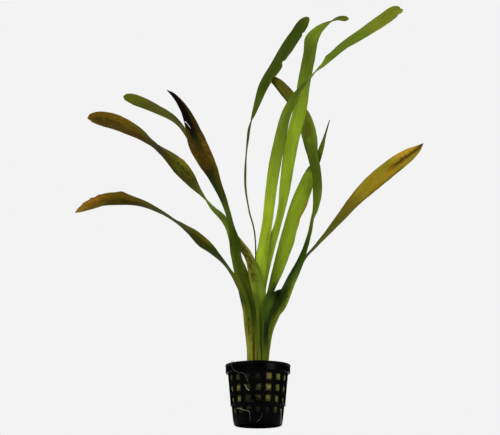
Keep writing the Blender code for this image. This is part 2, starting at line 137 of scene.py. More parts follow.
# Each blade from its base to its tip: right, up, depth behind the pot's axis, width seen, whole width.
# The width seen is less than the whole where the blade is turned, and negative past a twist.
BLADES = {
    "low_left": [
        (-6.1, 42.2, -3.5, 5.9, 6.8),
        (-6.7, 60.6, -5, 4.5, 6.5),
        (-8.2, 84.4, -7.5, 6.5, 7),
        (-10.3, 100.2, -10, 5.4, 8),
        (-16.8, 115.8, -14, 4.6, 9),
        (-26.1, 128.7, -18, 2.5, 10),
        (-35.8, 139.1, -22, 6.1, 11),
        (-43.8, 145.9, -26, 8.8, 11),
        (-51.2, 153.1, -30, 6.9, 11),
        (-59.6, 159.2, -34, 3.5, 11),
        (-67, 163.9, -37, 1.9, 10.5),
        (-76.1, 169.6, -40, 3, 10.5),
        (-89.5, 176.1, -44, 5.1, 10.5),
        (-100, 179, -47, 7.6, 11),
        (-111.1, 180.8, -50, 10.5, 11),
        (-123.1, 179.6, -53, 9.5, 10),
        (-133.5, 176, -55, 8.1, 8.3),
        (-140.6, 172.3, -57, 4.8, 5),
        (-145, 169.6, -58, 0.6, 0.8),
    ],
    "brown_left": [
        (-6.8, 42.2, 3.5, 4, 6.5),
        (-6, 64.4, 4, 3.4, 6.5),
        (-8.2, 86, 4.5, 5.3, 7),
        (-12.5, 108.1, 4.5, 6.5, 7.5),
        (-17.1, 128.8, 3, 6.2, 8),
        (-20.6, 147.7, 1.5, 5, 8.5),
        (-26.7, 163.7, 3.5, 5.4, 9),
        (-35.7, 173.3, 8, 3.5, 10),
        (-40.9, 179.7, 11, 0, 11),
        (-44.9, 185, 13, -3, 12),
        (-49.7, 190.9, 15, -7, 13),
        (-55.5, 198.5, 17, -10.8, 13.5),
        (-62.2, 205.6, 20, -12, 13.5),
        (-69, 212, 23, -9.8, 13),
        (-78, 219.4, 28, -5.5, 12.5),
        (-84.8, 225.3, 31, -4.8, 12),
        (-93.6, 232.2, 35, -8.4, 12),
        (-103.3, 237.2, 39, -11.3, 12),
        (-113.5, 241.6, 43, -13, 13.2),
        (-124.8, 244.3, 46, -11.8, 12),
        (-131.8, 245.1, 48, -7.6, 7.8),
        (-134.6, 244.8, 48.5, -2.8, 3),
    ],
    "upper_left": [
        (2, 42.2, -7, 3.6, 6.5),
        (2.4, 60.6, -8, 4.1, 6.5),
        (2.4, 80.4, -9.5, 5.9, 7.5),
        (1.7, 97.8, -9.5, 8.4, 10),
        (-0.5, 112.2, -8.5, 10.6, 11.5),
        (-4, 125.6, -6, 9.7, 11),
        (-9, 137.1, 2.5, 7.4, 10),
        (-14.9, 146.3, 11, 5.9, 9),
        (-21.4, 159, 16.5, 2.4, 9),
        (-26.6, 175.8, 20, 3.1, 9),
        (-37, 198.9, 25, 3.6, 9.5),
        (-48.9, 219.8, 30, 4.6, 10),
        (-59.7, 236.5, 35, 3.5, 10),
        (-69.5, 245.7, 39, 5.6, 10),
        (-80.8, 251.8, 42.5, 7.1, 10),
        (-91, 256.5, 46, 8.5, 10),
        (-100, 260.1, 49, 8.3, 8.5),
        (-104.8, 261.3, 50, 5.6, 5.8),
        (-106.5, 261.7, 50.5, 2, 2.2),
    ],
    "dark_pointed": [
        (-2.4, 42.2, 0, 4, 6.5),
        (-2.1, 64.4, 0, 6.7, 8),
        (-3.8, 82.8, -1, 8.8, 9.5),
        (-6.2, 100.1, -2, 10.4, 11.2),
        (-11.6, 115.9, -3, 10.9, 11.2),
        (-16.6, 131.1, -4.5, 7.7, 9.5),
        (-18.3, 146.2, -8, 8, 9),
        (-21.2, 159, -12, 4.5, 9),
        (-24.2, 170.7, -15, 4.2, 9.5),
        (-29.3, 184.5, -18, 6.1, 10.5),
        (-35.1, 198.8, -21, 9.8, 12),
        (-41.5, 211.2, -24, 13.6, 13.8),
        (-47.8, 223.9, -27, 14.9, 15.1),
        (-52.2, 236.8, -29, 11, 12.5),
        (-56.7, 248.2, -31, 7.7, 8.5),
        (-62.7, 257.9, -32, 4.8, 5),
        (-67.8, 263.5, -33, 2.9, 3.1),
        (-72.1, 266.6, -34, 0.6, 0.8),
    ],
    "thin_strand": [
        (-0.6, 42.2, 3.2, 4, 5),
        (-0.8, 68.4, 5, 3.2, 5.5),
        (-0.8, 100.2, 8.6, 2, 5),
        (-1.6, 130.4, 12.5, 1, 4.2),
        (-2.8, 154.2, 16, 0.8, 4),
        (-7.2, 171.6, 18.5, 1, 4.2),
        (-9.7, 187.6, 21, 1.5, 4.6),
        (-10.2, 201.8, 23, 1.8, 5),
        (-9.2, 217.8, 25, 0.9, 4.6),
        (-7.4, 233.6, 27, 2, 6),
        (-5.2, 242.5, 28, 0, 8),
        (-3.6, 247, 28.5, -2.5, 10),
        (0.1, 258.1, 30, -5.5, 11),
        (5.4, 272, 31, -7.9, 11.5),
        (15.1, 287.6, 32, -8.6, 11.5),
        (23.4, 301.1, 33, -9.8, 11),
        (30.7, 311.9, 34, -9.3, 10.5),
        (36, 319.8, 35, -8.8, 9),
        (39.5, 323.8, 36, -4.5, 4.7),
    ],
    "tall_right": [
        (-0.6, 42.2, -3.2, 4, 5),
        (0, 64.4, -3.5, 4.8, 5.5),
        (1.2, 92.2, -3, 5.6, 6.5),
        (2.5, 117.6, -0.5, 6.5, 8),
        (4.2, 140.1, 2, 8.7, 8.9),
        (7.7, 163.8, 2, 8.2, 9),
        (10.4, 187.6, 2, 8.8, 10),
        (13.5, 208.2, 1, 9.5, 10.5),
        (17.5, 227.2, 0, 9.4, 10.5),
        (22.3, 247, -2, 7.7, 10.5),
        (29.4, 260.6, -4, 6.7, 10.5),
        (37.3, 271.4, -7, 3.4, 10.5),
        (45.2, 281.2, -10, 0, 10.5),
        (51.2, 286.5, -12, -3.2, 10.5),
        (57.5, 293, -14, -5.3, 10.5),
        (68.9, 302.7, -17, -6.6, 11),
        (85, 313.2, -21, -8.5, 11),
        (99, 322.6, -25, -9.6, 11),
        (108.4, 329.2, -27, -9.2, 10),
        (113.2, 329.9, -28, -4.3, 5.1),
        (114.7, 330.6, -28.5, -1.7, 2),
    ],
    "tall_centre": [
        (2.5, 42.2, 0.5, 1.2, 4.5),
        (2.8, 64.4, 2, 2.4, 5),
        (4, 90.6, 4, 4.6, 6),
        (4.9, 110.6, 6, 3.3, 7),
        (9.6, 140, 7, 7, 8),
        (15.4, 159, 8.5, 5.8, 8.5),
        (18.8, 173.2, 9, 6.2, 9.5),
        (21.3, 189.2, 9, 8.7, 10.5),
        (24.8, 211.4, 9, 9.4, 10.5),
        (28.6, 231.2, 9, 9.8, 10.8),
        (33.6, 252.5, 8.5, 10.5, 10.8),
        (36.6, 273.3, 8, 10.1, 10.5),
        (40.6, 293.8, 8, 10.3, 10.5),
        (42.8, 306.7, 8, 10.4, 10.7),
        (47, 313.1, 8, 8, 10),
        (52.8, 318, 9, 4.5, 9),
        (58.6, 321.5, 10, 0, 8),
        (64.2, 323.6, 12, -3.3, 6.5),
        (69.5, 323.6, 13, -4.1, 4.3),
        (71.9, 323.4, 13.5, -1.2, 1.5),
    ],
    "curled_back": [
        (5.8, 42.2, 4.5, 4.3, 6),
        (7.5, 60.6, 3.5, 4.1, 6),
        (11, 80.4, 2, 5.7, 7),
        (18.5, 96.7, -0.5, 8.5, 9),
        (24.6, 112, -3, 8.2, 8.5),
        (32.1, 127.5, -2, 6.3, 8.5),
        (37.1, 139.8, 1, 4.2, 9),
        (40.8, 152.6, 4, 3.1, 9.5),
        (43.1, 163.8, 6.5, 2.5, 10),
        (45.9, 172.3, 8, 4.4, 10),
        (47.1, 186, 10, 7.3, 10),
        (46.7, 199.5, 13, 7.4, 10.5),
        (43.5, 215.4, 16, 8.8, 11),
        (40.8, 230.4, 20, 12.4, 12.6),
        (37.2, 243.3, 24, 11.4, 12),
        (31.1, 254.2, 27, 9.5, 11),
        (24.8, 262.4, 30, 9.3, 10),
        (17.7, 270.4, 33, 8.2, 9),
        (11.4, 275.8, 35, 5.2, 6),
        (7.5, 278.6, 36, 1.6, 2),
    ],
    "broad_right": [
        (-0.6, 42.2, 7.5, 4, 6),
        (1.7, 64.4, 8.5, 4.8, 6),
        (5.7, 90.6, 11, 4.8, 6.5),
        (10.4, 108.1, 13, 5.5, 7.5),
        (15.8, 123.9, 15, 8.9, 9.5),
        (21.4, 142.2, 17, 11.2, 11.4),
        (26, 158.3, 19, 11.2, 12),
        (32, 175.6, 20, 12.9, 13.1),
        (37.6, 190.1, 20.5, 11.5, 12),
        (41.8, 201.1, 22.8, 8.7, 9),
        (47, 210.5, 25, 5, 5.2),
        (50.3, 220.7, 27, 4, 4.2),
        (53.1, 230.4, 29, 1.8, 2.5),
        (56.9, 243.2, 32, 0.6, 0.8),
    ],
    "far_right": [
        (6, 42.2, -3, 2.4, 6),
        (5.2, 62, -8.5, 4.6, 6),
        (5.7, 78, -11, 5.6, 7),
        (7.5, 90.6, -12, 8.2, 9.5),
        (10.6, 99.2, -11, 9.1, 10.5),
        (14.4, 104.2, -5, 4.9, 8),
        (20.3, 108.4, 10, 1.6, 7.5),
        (24.4, 114.6, 13.5, 1.9, 8.5),
        (31.2, 123.7, 15, 3.2, 9.5),
        (37.9, 134.4, 15, 1.8, 10),
        (45.4, 142.5, 13.5, 2.3, 10),
        (50.9, 148.8, 12, 3.3, 10.5),
        (64.2, 164.1, 9, 6.5, 11.5),
        (75.2, 177.3, 5, 9.3, 12.5),
        (87.2, 189.7, 0, 12.3, 13),
        (99.2, 200.2, -6, 13.3, 13.5),
        (111.2, 209.4, -12, 12.5, 12.8),
        (120, 215.6, -16, 10.1, 10.3),
        (126.5, 220.1, -19, 5.8, 6),
        (131, 224.4, -21, 0.6, 0.8),
    ],
}

# For each blade: which way it leans where it's turned (1 takes its right edge away from the viewer), a
# slot's name, the tissue at some of its points, the marks on it, and dents in its edges. The two shade
# greens among the tissues are painted shade. A mark is a tissue, the points that it runs between, its
# reach across from -1 to 1, its strength, and how much of that place its blotches cover. A dent is a
# point, a side, a depth and a reach along the blade, and swells if its depth is negative. A scar is a torn
# line painted in the pale backdrop's colour as it shows through: where it starts and ends across, and the
# points that it starts and ends at.
HABITS = {
    "low_left": {
        "lean": -1,
        "slot": "browning_leaf",
        "tissues": [
            (0, "sheath"), (1.2, "sheath"), (1.8, "olive"), (2.4, "moss"), (3, "deep"),
            (3.8, "olive_green"), (4.6, "moss"), (5.2, "dusk"), (6.6, "dusk"), (7.8, "peat_green"),
            (9, "drab"), (11, "drab"), (12, "umber"), (13.4, "umber"), (14, "bronze"), (14.8, "tan"),
            (16, "tan"), (17, "copper"), (18, "copper"),
        ],
        "marks": [
            ("khaki", 1.4, 2.7, -2, -0.4, 0.85, 1),
            ("moss", 1.2, 2.5, 0.6, 2, 0.8, 1),
            ("umber", 0.9, 2.7, 0.1, 0.8, 0.5, 0.4),
            ("bark", 1.3, 2.6, -0.2, 0.6, 0.85, 0.32),
            ("ochre", 0, 0.9, -2, 0.6, 0.45, 0.7),
            ("olive", 6.5, 9, 0.35, 2, 0.85, 1),
            ("umber", 6.5, 8.6, -0.5, 0.3, 0.6, 0.4),
            ("olive", 11.6, 13.4, 0.3, 2, 0.6, 1),
            ("bark", 12.4, 15.2, -2, 0, 0.6, 0.8),
            ("tan", 12.8, 14, 0.2, 2, 0.7, 0.8),
            ("bark", 14, 15.4, -0.2, 0.45, 0.5, 0.5),
            ("olive", 14.8, 16.8, -2, -0.3, 0.6, 0.7),
            ("tan", 14.2, 15.2, 0.3, 2, 0.5, 0.5),
            ("amber", 15.1, 17, -0.1, 2, 0.8, 0.6),
            ("copper", 15.4, 18.2, 0.3, 2, 0.6, 0.6),
            ("walnut", 15.2, 16.6, -0.2, 0.3, 0.5, 0.35),
        ],
        "dents": [
            (4.5, 1, 0.3, 0.4), (13.8, 1, -0.16, 0.2), (14.3, 1, 0.05, 0.2), (14.85, 1, -0.05, 0.08),
            (15.2, 1, -0.08, 0.12), (15.5, 1, 0.1, 0.14), (15.75, 1, -0.05, 0.08), (16, 1, 0.09, 0.12),
            (16.5, 1, -0.07, 0.1), (16.8, 1, 0.1, 0.12),
        ],
    },
    "brown_left": {
        "lean": 1,
        "slot": "browning_leaf",
        "tissues": [
            (0, "sheath"), (1.1, "khaki"), (1.9, "khaki_green"), (2.6, "dusk"), (3.5, "dusk"), (4, "moss"),
            (5, "moss"), (6.2, "moss"), (7.4, "grass"), (8.4, "olive_green"), (9.4, "olive_green"),
            (10.2, "drab"), (11, "drab"), (12.6, "drab"), (13.2, "umber"), (14, "peat"), (15, "umber"),
            (16, "bronze"), (19, "bronze"), (20, "tan"),
        ],
        "marks": [
            ("ochre", 0, 0.9, -2, 0.6, 0.4, 0.8),
            ("moss", 0.6, 1.9, 0.1, 2, 0.8, 1),
            ("grass", 3.4, 5.9, -2, -0.2, 0.8, 1),
            ("olive", 10.6, 13.7, -2, -0.25, 1, 1),
            ("khaki", 11.4, 12.8, -2, -0.3, 0.35, 0.8),
            ("bronze", 10.6, 13.2, -0.5, 0.4, 0.6, 0.4),
            ("bark", 10.3, 12.2, -0.4, 0.6, 0.8, 0.46),
            ("peat", 10.4, 13.4, 0.5, 2, 0.6, 0.8),
            ("olive", 15.2, 17.4, -2, -0.4, 0.8, 1),
            ("tan", 16.8, 19.6, -2, -0.35, 0.7, 0.85),
            ("amber", 16.2, 18.4, -0.8, 0, 0.45, 0.33),
            ("walnut", 15.2, 19.6, 0.25, 2, 0.75, 0.85),
            ("bark", 17.4, 20, -0.2, 0.3, 0.7, 0.7),
        ],
        "dents": [
            (4.5, -1, -0.2, 0.3), (5.5, -1, 0.25, 0.35), (12.05, -1, -0.1, 0.2), (14.2, -1, 0.14, 0.09),
        ],
    },
    "upper_left": {
        "lean": 1,
        "slot": "dark_green_leaf",
        "tissues": [
            (0, "khaki_green"), (0.8, "grass"), (1.2, "moss"), (2.4, "grass"), (3.2, "grass"), (4, "grass"),
            (5, "grass"), (6, "olive"), (7, "drab"), (9, "drab"), (12, "drab"), (14.8, "drab"),
            (16, "olive_green"), (17.5, "olive_green"),
        ],
        "marks": [
            ("khaki", 3.6, 5.6, -2, -0.55, 0.85, 1),
            ("moss", 1.8, 3.6, -2, -0.3, 0.8, 1),
            ("leaf_green", 2.2, 3.8, 0.1, 2, 0.8, 1),
            ("bronze", 4.6, 7.2, -2, 0, 0.5, 0.8),
            ("umber", 4.2, 7.8, -0.8, 0.1, 0.85, 0.5),
            ("walnut", 4.4, 7.8, -0.6, 0.3, 0.8, 0.46),
            ("bronze", 4.6, 7.4, 0.5, 2, 0.5, 0.5),
            ("khaki", 5.6, 8.2, 0.25, 2, 0.9, 1),
            ("dusk", 6.8, 8, -2, -0.35, 0.8, 1),
            ("peat", 11.2, 13, 0, 2, 0.9, 1),
            ("bronze", 16, 18, 0.1, 2, 0.4, 0.5),
        ],
        "dents": [(2.7, 1, -0.35, 0.9), (5.55, -1, 0.28, 0.6), (7.6, 1, 0.25, 0.3)],
    },
    "dark_pointed": {
        "lean": -1,
        "slot": "dying_leaf",
        "tissues": [
            (0, "ochre"), (0.5, "lime"), (1.3, "lime"), (2, "leaf_green"), (2.6, "moss"), (4, "moss"),
            (6, "deep"), (8, "moss"), (8.8, "dusk"), (9.5, "dusk"), (10, "peat"), (10.8, "walnut"),
            (12, "walnut"), (12.6, "bark"), (13.15, "char"), (17, "char"),
        ],
        "marks": [
            ("ochre", 0, 1.5, -2, 2, 0.85, 1),
            ("grass", 2, 3.9, 0.2, 2, 0.8, 1),
            ("grass", 3.8, 5.6, -2, -0.4, 0.6, 1),
            ("dusk", 5.6, 6.7, 0.2, 2, 0.8, 1),
            # The near-black green on its left side, and in a streak near its tip, is painted shade.
            ("deep_shade_green", 8.5, 10.2, -2, -0.1, 0.7, 1),
            ("umber", 8.9, 10.9, 0.25, 2, 0.9, 0.9),
            ("bronze", 10.6, 12.6, -0.6, 0.9, 0.5, 0.6),
            ("tan", 10.8, 12.4, 0.35, 2, 0.65, 0.6),
            ("amber", 10.8, 12.2, -0.2, 0.9, 0.35, 0.2),
            ("bronze", 10.8, 13.1, -2, -0.55, 0.6, 0.7),
            ("char", 10, 12.6, -0.7, 0.5, 0.5, 0.5),
            ("deep_shade_green", 11.7, 12.95, -0.25, 0.3, 0.8, 0.75),
            ("char", 12.5, 13.4, -0.4, 0.4, 0.8, 1),
            ("walnut", 12.7, 14.2, 0.45, 2, 0.9, 1),
            ("bark", 12.8, 16.4, 0.6, 2, 0.9, 1),
        ],
        "dents": [(4.7, 1, -0.24, 0.45), (8.6, 1, -0.12, 0.4), (9.6, 1, 0.1, 0.4)],
        # Where the blade is torn, painted with the pale backdrop that shows through.
        "scar": (-0.85, -0.15, 13.55, 13.0),
    },
    "thin_strand": {
        "lean": 1,
        "slot": "dark_green_leaf",
        "tissues": [
            (0, "khaki_green"), (1, "grass"), (2, "grass"), (5, "grass"), (10, "moss"), (12, "moss"),
            (12.8, "deep"), (15, "deep"), (17.2, "deep"), (18, "moss"),
        ],
        "marks": [
            ("moss", 13, 15, -2, -0.5, 0.6, 1),
            ("drab", 13.4, 15, 0.3, 2, 0.4, 0.6),
            # Darker down its middle towards the tip: painted shade.
            ("shade_green", 12.6, 16.6, -0.5, 0.3, 0.6, 0.6),
        ],
        "dents": [
            (13.32, -1, 0.34, 0.1), (13.75, -1, -0.16, 0.26), (14.16, -1, 0.42, 0.1), (14.5, -1, 0.06, 0.2),
            (16.2, -1, 0.22, 0.1),
        ],
    },
    "tall_right": {
        "lean": 1,
        "slot": "green_leaf",
        "tissues": [
            (0, "sheath"), (0.8, "sheath"), (1.2, "leaf_green"), (1.6, "grass"), (2.9, "leaf_green"),
            (3.3, "fresh"), (4, "lime"), (5.4, "lime"), (6.2, "fresh"), (7.2, "leaf_green"), (8.2, "grass"),
            (11, "grass"), (11.8, "leaf_green"), (13.2, "leaf_green"), (14, "grass"), (15.8, "grass"),
            (16.5, "khaki_green"), (17, "ripe"), (18.3, "ripe"), (19.4, "khaki"),
        ],
        "marks": [
            ("fresh", 10.2, 11.8, 0.3, 2, 0.9, 1),
            ("grass", 3.6, 4.6, 0.3, 2, 0.5, 1),
            ("leaf_green", 7.8, 9.4, -2, -0.4, 0.5, 1),
            ("moss", 9.8, 11.4, -2, -0.1, 0.6, 1),
        ],
        "dents": [(3.7, -1, -0.3, 0.3), (12.6, 1, -0.3, 0.12), (13.85, 1, -0.24, 0.22)],
    },
    "tall_centre": {
        "lean": 1,
        "slot": "green_leaf",
        "tissues": [
            # Its dark green foot is painted shade, where the blades in front shade it.
            (0, "shade_green"), (1.5, "shade_green"), (2.6, "grass"), (3, "leaf_green"), (4, "leaf_green"),
            (4.6, "fresh"), (7, "fresh"), (8, "fresh"), (9.4, "fresh"), (10.4, "leaf_green"),
            (11.2, "grass"), (11.9, "moss"), (12.3, "moss"), (13, "grass"), (14, "leaf_green"),
            (15, "leaf_green"), (16, "grass"), (17, "moss"), (18, "olive_green"),
        ],
        "marks": [
            ("lime", 3.5, 6.8, 0.3, 2, 0.7, 1),
            ("lime", 7.4, 9, -2, -0.4, 0.5, 1),
            ("grass", 3.6, 4.6, -2, -0.4, 0.6, 1),
            ("grass", 9.6, 10.8, -2, -0.4, 0.4, 1),
            ("grass", 11.6, 12.6, 0.3, 2, 0.7, 1),
        ],
        "dents": [
            (8.2, -1, -0.2, 0.6), (9.3, -1, -0.12, 0.5), (12.85, -1, -0.14, 0.35), (16.6, -1, 0.1, 0.09),
        ],
    },
    "curled_back": {
        "lean": -1,
        "slot": "dark_green_leaf",
        "tissues": [
            (0, "khaki"), (1, "khaki_green"), (1.8, "leaf_green"), (2.4, "moss"), (2.9, "deep"),
            # The dark green low down the blade is painted shade.
            (4, "shade_green"), (5, "shade_green"), (6.4, "shade_green"), (7, "moss"), (8, "grass"), (9.4, "grass"),
            (10.4, "moss"), (12, "moss"), (13, "grass"), (14, "grass"), (15, "grass"),
            (15.6, "olive_green"), (17.8, "olive_green"), (18.4, "drab"),
        ],
        "marks": [
            ("khaki_green", 0.3, 2.9, 0, 2, 0.8, 1),
            # The near-black green on its left side low down is painted shade, along the edge of the far
            # right blade's fold.
            ("deep_shade_green", 2.3, 3.4, -2, 0.1, 0.6, 1),
            ("deep_shade_green", 3.3, 3.9, -2, 0.5, 0.9, 1),
            ("deep_shade_green", 4, 6.4, -2, -0.2, 0.8, 1),
            ("moss", 3.5, 4.7, 0.2, 2, 0.8, 1),
            ("fresh", 3, 4.4, 0.6, 2, 0.5, 1),
            ("bronze", 12.9, 15, -0.6, 0.4, 0.6, 0.55),
            ("tan", 15.7, 17.7, -0.35, 0.5, 0.7, 0.45),
            ("bark", 15.8, 18, -2, -0.6, 0.5, 0.8),
            ("umber", 15.8, 18, 0.55, 2, 0.5, 0.6),
            ("khaki_green", 13.4, 15.3, 0.3, 2, 0.6, 1),
        ],
        "dents": [(1.5, 1, 0.12, 0.4), (2.55, 1, 0.2, 0.2), (3.1, -1, -0.45, 0.45), (11.2, -1, 0.16, 0.09)],
    },
    "broad_right": {
        "lean": -1,
        "slot": "green_leaf",
        "tissues": [
            # Its dark green foot, and a dark green stretch near its top, are painted shade.
            (0, "shade_green"), (2.2, "shade_green"), (2.7, "grass"), (3.1, "leaf_green"), (4, "leaf_green"),
            (5.4, "fresh"), (7.4, "fresh"), (8.2, "leaf_green"), (8.9, "leaf_green"), (9.3, "moss"),
            (9.7, "shade_green"), (10.3, "shade_green"), (10.8, "grass"), (13, "moss"),
        ],
        "marks": [
            # Darker on its right side near the foot: painted shade.
            ("shade_green", 2.2, 3.4, 0.2, 2, 0.8, 1),
            ("fresh", 3.4, 4.8, 0.4, 2, 0.6, 1),
            ("copper", 6.3, 7.5, 0.6, 2, 0.6, 1),
            ("grass", 7.5, 8.7, 0.15, 2, 0.7, 1),
            ("moss", 9.6, 10.6, -2, -0.3, 0.6, 1),
        ],
        "dents": [(5.3, 1, -0.08, 0.3), (6.5, 1, 0.16, 0.25), (7.15, 1, -0.06, 0.15)],
    },
    "far_right": {
        "lean": 1,
        "slot": "browning_leaf",
        "tissues": [
            # The darkest greens along its foot, its fold and midway up are painted shade.
            (0, "khaki_green"), (0.7, "grass"), (1.1, "deep"), (1.6, "deep_shade_green"), (2.2, "deep_shade_green"),
            (2.8, "shade_green"), (3.8, "shade_green"), (4.5, "deep_shade_green"), (6, "deep_shade_green"), (7.8, "shade_green"), (9.4, "deep"),
            (10, "drab"), (11, "olive_green"), (12, "olive"), (12.9, "honey"), (13.6, "ochre"),
            (17.6, "ochre"), (19, "rust"),
        ],
        "marks": [
            ("moss", 0.9, 2.6, -2, -0.5, 0.6, 1),
            # Near-black on its right side low down: painted shade along its fold.
            ("deep_shade_green", 1.4, 4.2, 0.35, 2, 0.8, 1),
            # Near-black across its fold: painted shade, in the dead tissue's colour.
            ("char", 4.2, 5.9, -0.4, 2, 0.75, 1),
            ("moss", 3.2, 4.6, -0.5, 0.3, 0.4, 1),
            ("straw", 14, 16.8, 0.1, 2, 0.35, 0.6),
            ("amber", 13.4, 16, -0.7, 0.7, 0.5, 0.3),
            ("umber", 11.6, 16, 0.8, 2, 0.7, 1),
            ("umber", 11.6, 14.4, -2, -0.85, 0.5, 1),
            ("rust", 15.4, 18.6, -0.35, 0.35, 0.7, 0.85),
            ("straw", 16, 18.2, -2, -0.45, 0.9, 0.9),
            ("walnut", 15.8, 18.8, -0.15, 0.2, 0.95, 0.72),
            ("walnut", 18.4, 20, -2, 0.4, 0.9, 1),
        ],
        "dents": [],
    },
}

# How brown each root has gone where it leaves the wool, halfway and at its tip, from 0 to 1.
# The colours of the front lower, foot and right roots low on the pot are partly root colour and partly
# painted highlight on the pot's foot.
ROOT_AGES = {
    "over_rim": (0.95, 0.95, 0.9),
    "front_upper": (0.9, 0.35, 0.05),
    "front_lower": (0.15, 0.7, 1.0),
    "foot": (1.0, 1.0, 0.8),
    "right": (0.4, 0.7, 0.0),
    "back_upper": (0.6, 0.2, 0.3),
    "back_lower": (0.4, 0.1, 0.3),
}

# Each root as points round the pot: angle to the right of the front, radius, height.
ROOTS = {
    "over_rim": [
        (-70, 9.4, 40),
        (-68, 12, 45.5),
        (-62, 18, 48.6),
        (-58, 22.5, 49.5),
        (-56, 25.2, 49.9),
        (-55.2, 26.1, 49.6),
        (-54.4, 26.4, 48.4),
        (-52.5, 26.4, 45.8),
        (-48, 26.3, 43),
        (-42, 25.3, 40.9),
        (-33, 24.8, 39.7),
        (-26, 24.7, 38.6),
        (-22, 24.6, 35.5),
        (-18.5, 24.3, 31.7),
    ],
    "front_upper": [
        (-28, 22.4, 30.8),
        (-27, 23.6, 30.2),
        (-24, 24, 29),
        (-21.2, 23.9, 26.9),
        (-17.6, 23.6, 25.4),
    ],
    # A real root, whose run straight down the lower wall to the foot is also a painted highlight: it draws
    # the highlight line that a mould seam there catches.
    "front_lower": [
        (-55, 19.4, 12.9),
        (-52.5, 20.7, 12.7),
        (-48, 21.2, 12.4),
        (-40, 21.2, 12.1),
        (-35, 21.1, 11),
        (-28.3, 21.05, 10.3),
        (-22, 21, 9.8),
        (-19, 20.95, 8.6),
        (-18.2, 20.75, 6),
        (-18, 20.4, 3),
        (-18, 20.15, 0.9),
    ],
    # A real root, whose end on the foot is also a painted highlight: a lighter streak where the foot's edge
    # catches light.
    "foot": [
        (9, 19, 9.2),
        (8.6, 20.7, 7.6),
        (7.4, 20.5, 5),
        (5.4, 20.3, 3.6),
        (1.5, 20.15, 2.4),
        (-3.2, 20, 1.3),
    ],
    # A real root, whose pale tip near the foot is also a painted highlight: a bright spot where the foot
    # catches light.
    "right": [
        (58, 19.3, 13),
        (59, 20.9, 11.8),
        (60.5, 20.9, 8.7),
        (61.5, 20.6, 5.4),
        (62.5, 20.4, 3),
        (63, 20.25, 1.2),
    ],
    "back_upper": [
        (-135, 22.9, 38),
        (-137, 24.4, 37),
        (-141, 24.5, 34),
        (-143, 24.1, 30),
        (-141, 23.8, 27),
    ],
    "back_lower": [
        (157, 21.4, 21.5),
        (156, 22.8, 20.4),
        (153, 23, 18),
        (151, 22.6, 14.6),
        (150, 21.4, 11),
        (152, 21, 7.5),
        (156, 20.6, 4.5),
    ],
}

# Dark places on the wool, painted shade, most of them in the front windows where the lattice shades the
# wool: angle to the right of the front, height, reach, strength.
SHADE_PATCHES = [
    (-2, 38, 8, 1.25),
    (-22, 38, 8, 1.25),
    (-46, 38, 7, 0.95),
    (-70, 37, 7, 0.8),
    (-8, 30, 6, 1.1),
    (4, 26.5, 4, 0.8),
    (-24, 28.5, 7, 0.95),
    (-6, 17.5, 6.5, 1.3),
    (5, 17.5, 4, 1.0),
    (-23, 20, 6, 0.95),
    (0, 10.5, 8, 1.3),
    (21, 10.5, 8, 1.3),
    (-22, 10, 7, 1.1),
    (46, 9.5, 7, 0.85),
    (68, 10, 7, 0.75),
    (-48, 10, 7, 0.85),
    (130, 30, 12, 0.8),
    (-110, 14, 12, 0.8),
    (180, 40, 9, 0.7),
]

# Places on the wool that have stayed nearly clean, in the same way.
CLEAN = [
    (20, 37.5, 5, 0.85),
    (24, 30, 3.5, 0.35),
    (1, 20.4, 2.4, 1.1),
    (-22, 21, 4, 0.4),
    (100, 36, 6, 0.6),
    (-150, 24, 7, 0.7),
    (160, 13, 6, 0.6),
]


def linear(text):
    """An sRGB hex value as linear colour with full alpha."""
    channels = [int(text[place : place + 2], 16) / 255 for place in (1, 3, 5)]
    return (*(c / 12.92 if c <= 0.04045 else ((c + 0.055) / 1.055) ** 2.4 for c in channels), 1.0)


def length_property(label, description, millimetres):
    """A length that a user can change."""
    return bpy.props.FloatProperty(
        name=label, description=description, default=millimetres * MM, unit="LENGTH", precision=4
    )


def share_property(label, description, default):
    """A share from 0 to 1 that a user can change."""
    return bpy.props.FloatProperty(
        name=label, description=description, default=default, min=0.0, max=1.0, subtype="FACTOR"
    )


def power_property(label, description, watts):
    """A light's power that a user can change."""
    return bpy.props.FloatProperty(name=label, description=description, default=watts, unit="POWER")


def colour_property(label, description, text):
    """A colour that a user can change, from its sRGB hex value."""
    return bpy.props.FloatVectorProperty(
        name=label, description=description, default=linear(text), size=4, min=0.0, max=1.0, subtype="COLOR"
    )


class PotSettings(bpy.types.PropertyGroup):
    """The net pot's sizes and its plastic."""

    height: length_property("Height", "From the foot to the top of the rim", POT_TOP / MM)
    rim_radius: length_property("Rim radius", "Outer radius of the rim's skirt", 26.05)
    wall: length_property("Wall", "Thickness of the lattice wall", 1.1)
    window_share: share_property("Window share", "Open share of each column's pitch", WINDOW_SHARE)
    rib_height: length_property("Rib height", "How far the upright ribs stand out from the wall", 0.3)
    rounding: length_property("Edge rounding", "Rounding of the moulded edges", 0.14)
    plastic: colour_property("Plastic", "Black polypropylene where it's clean", "#010101")
    dust: colour_property("Dust", "The plastic where handling has dulled it", "#050504")


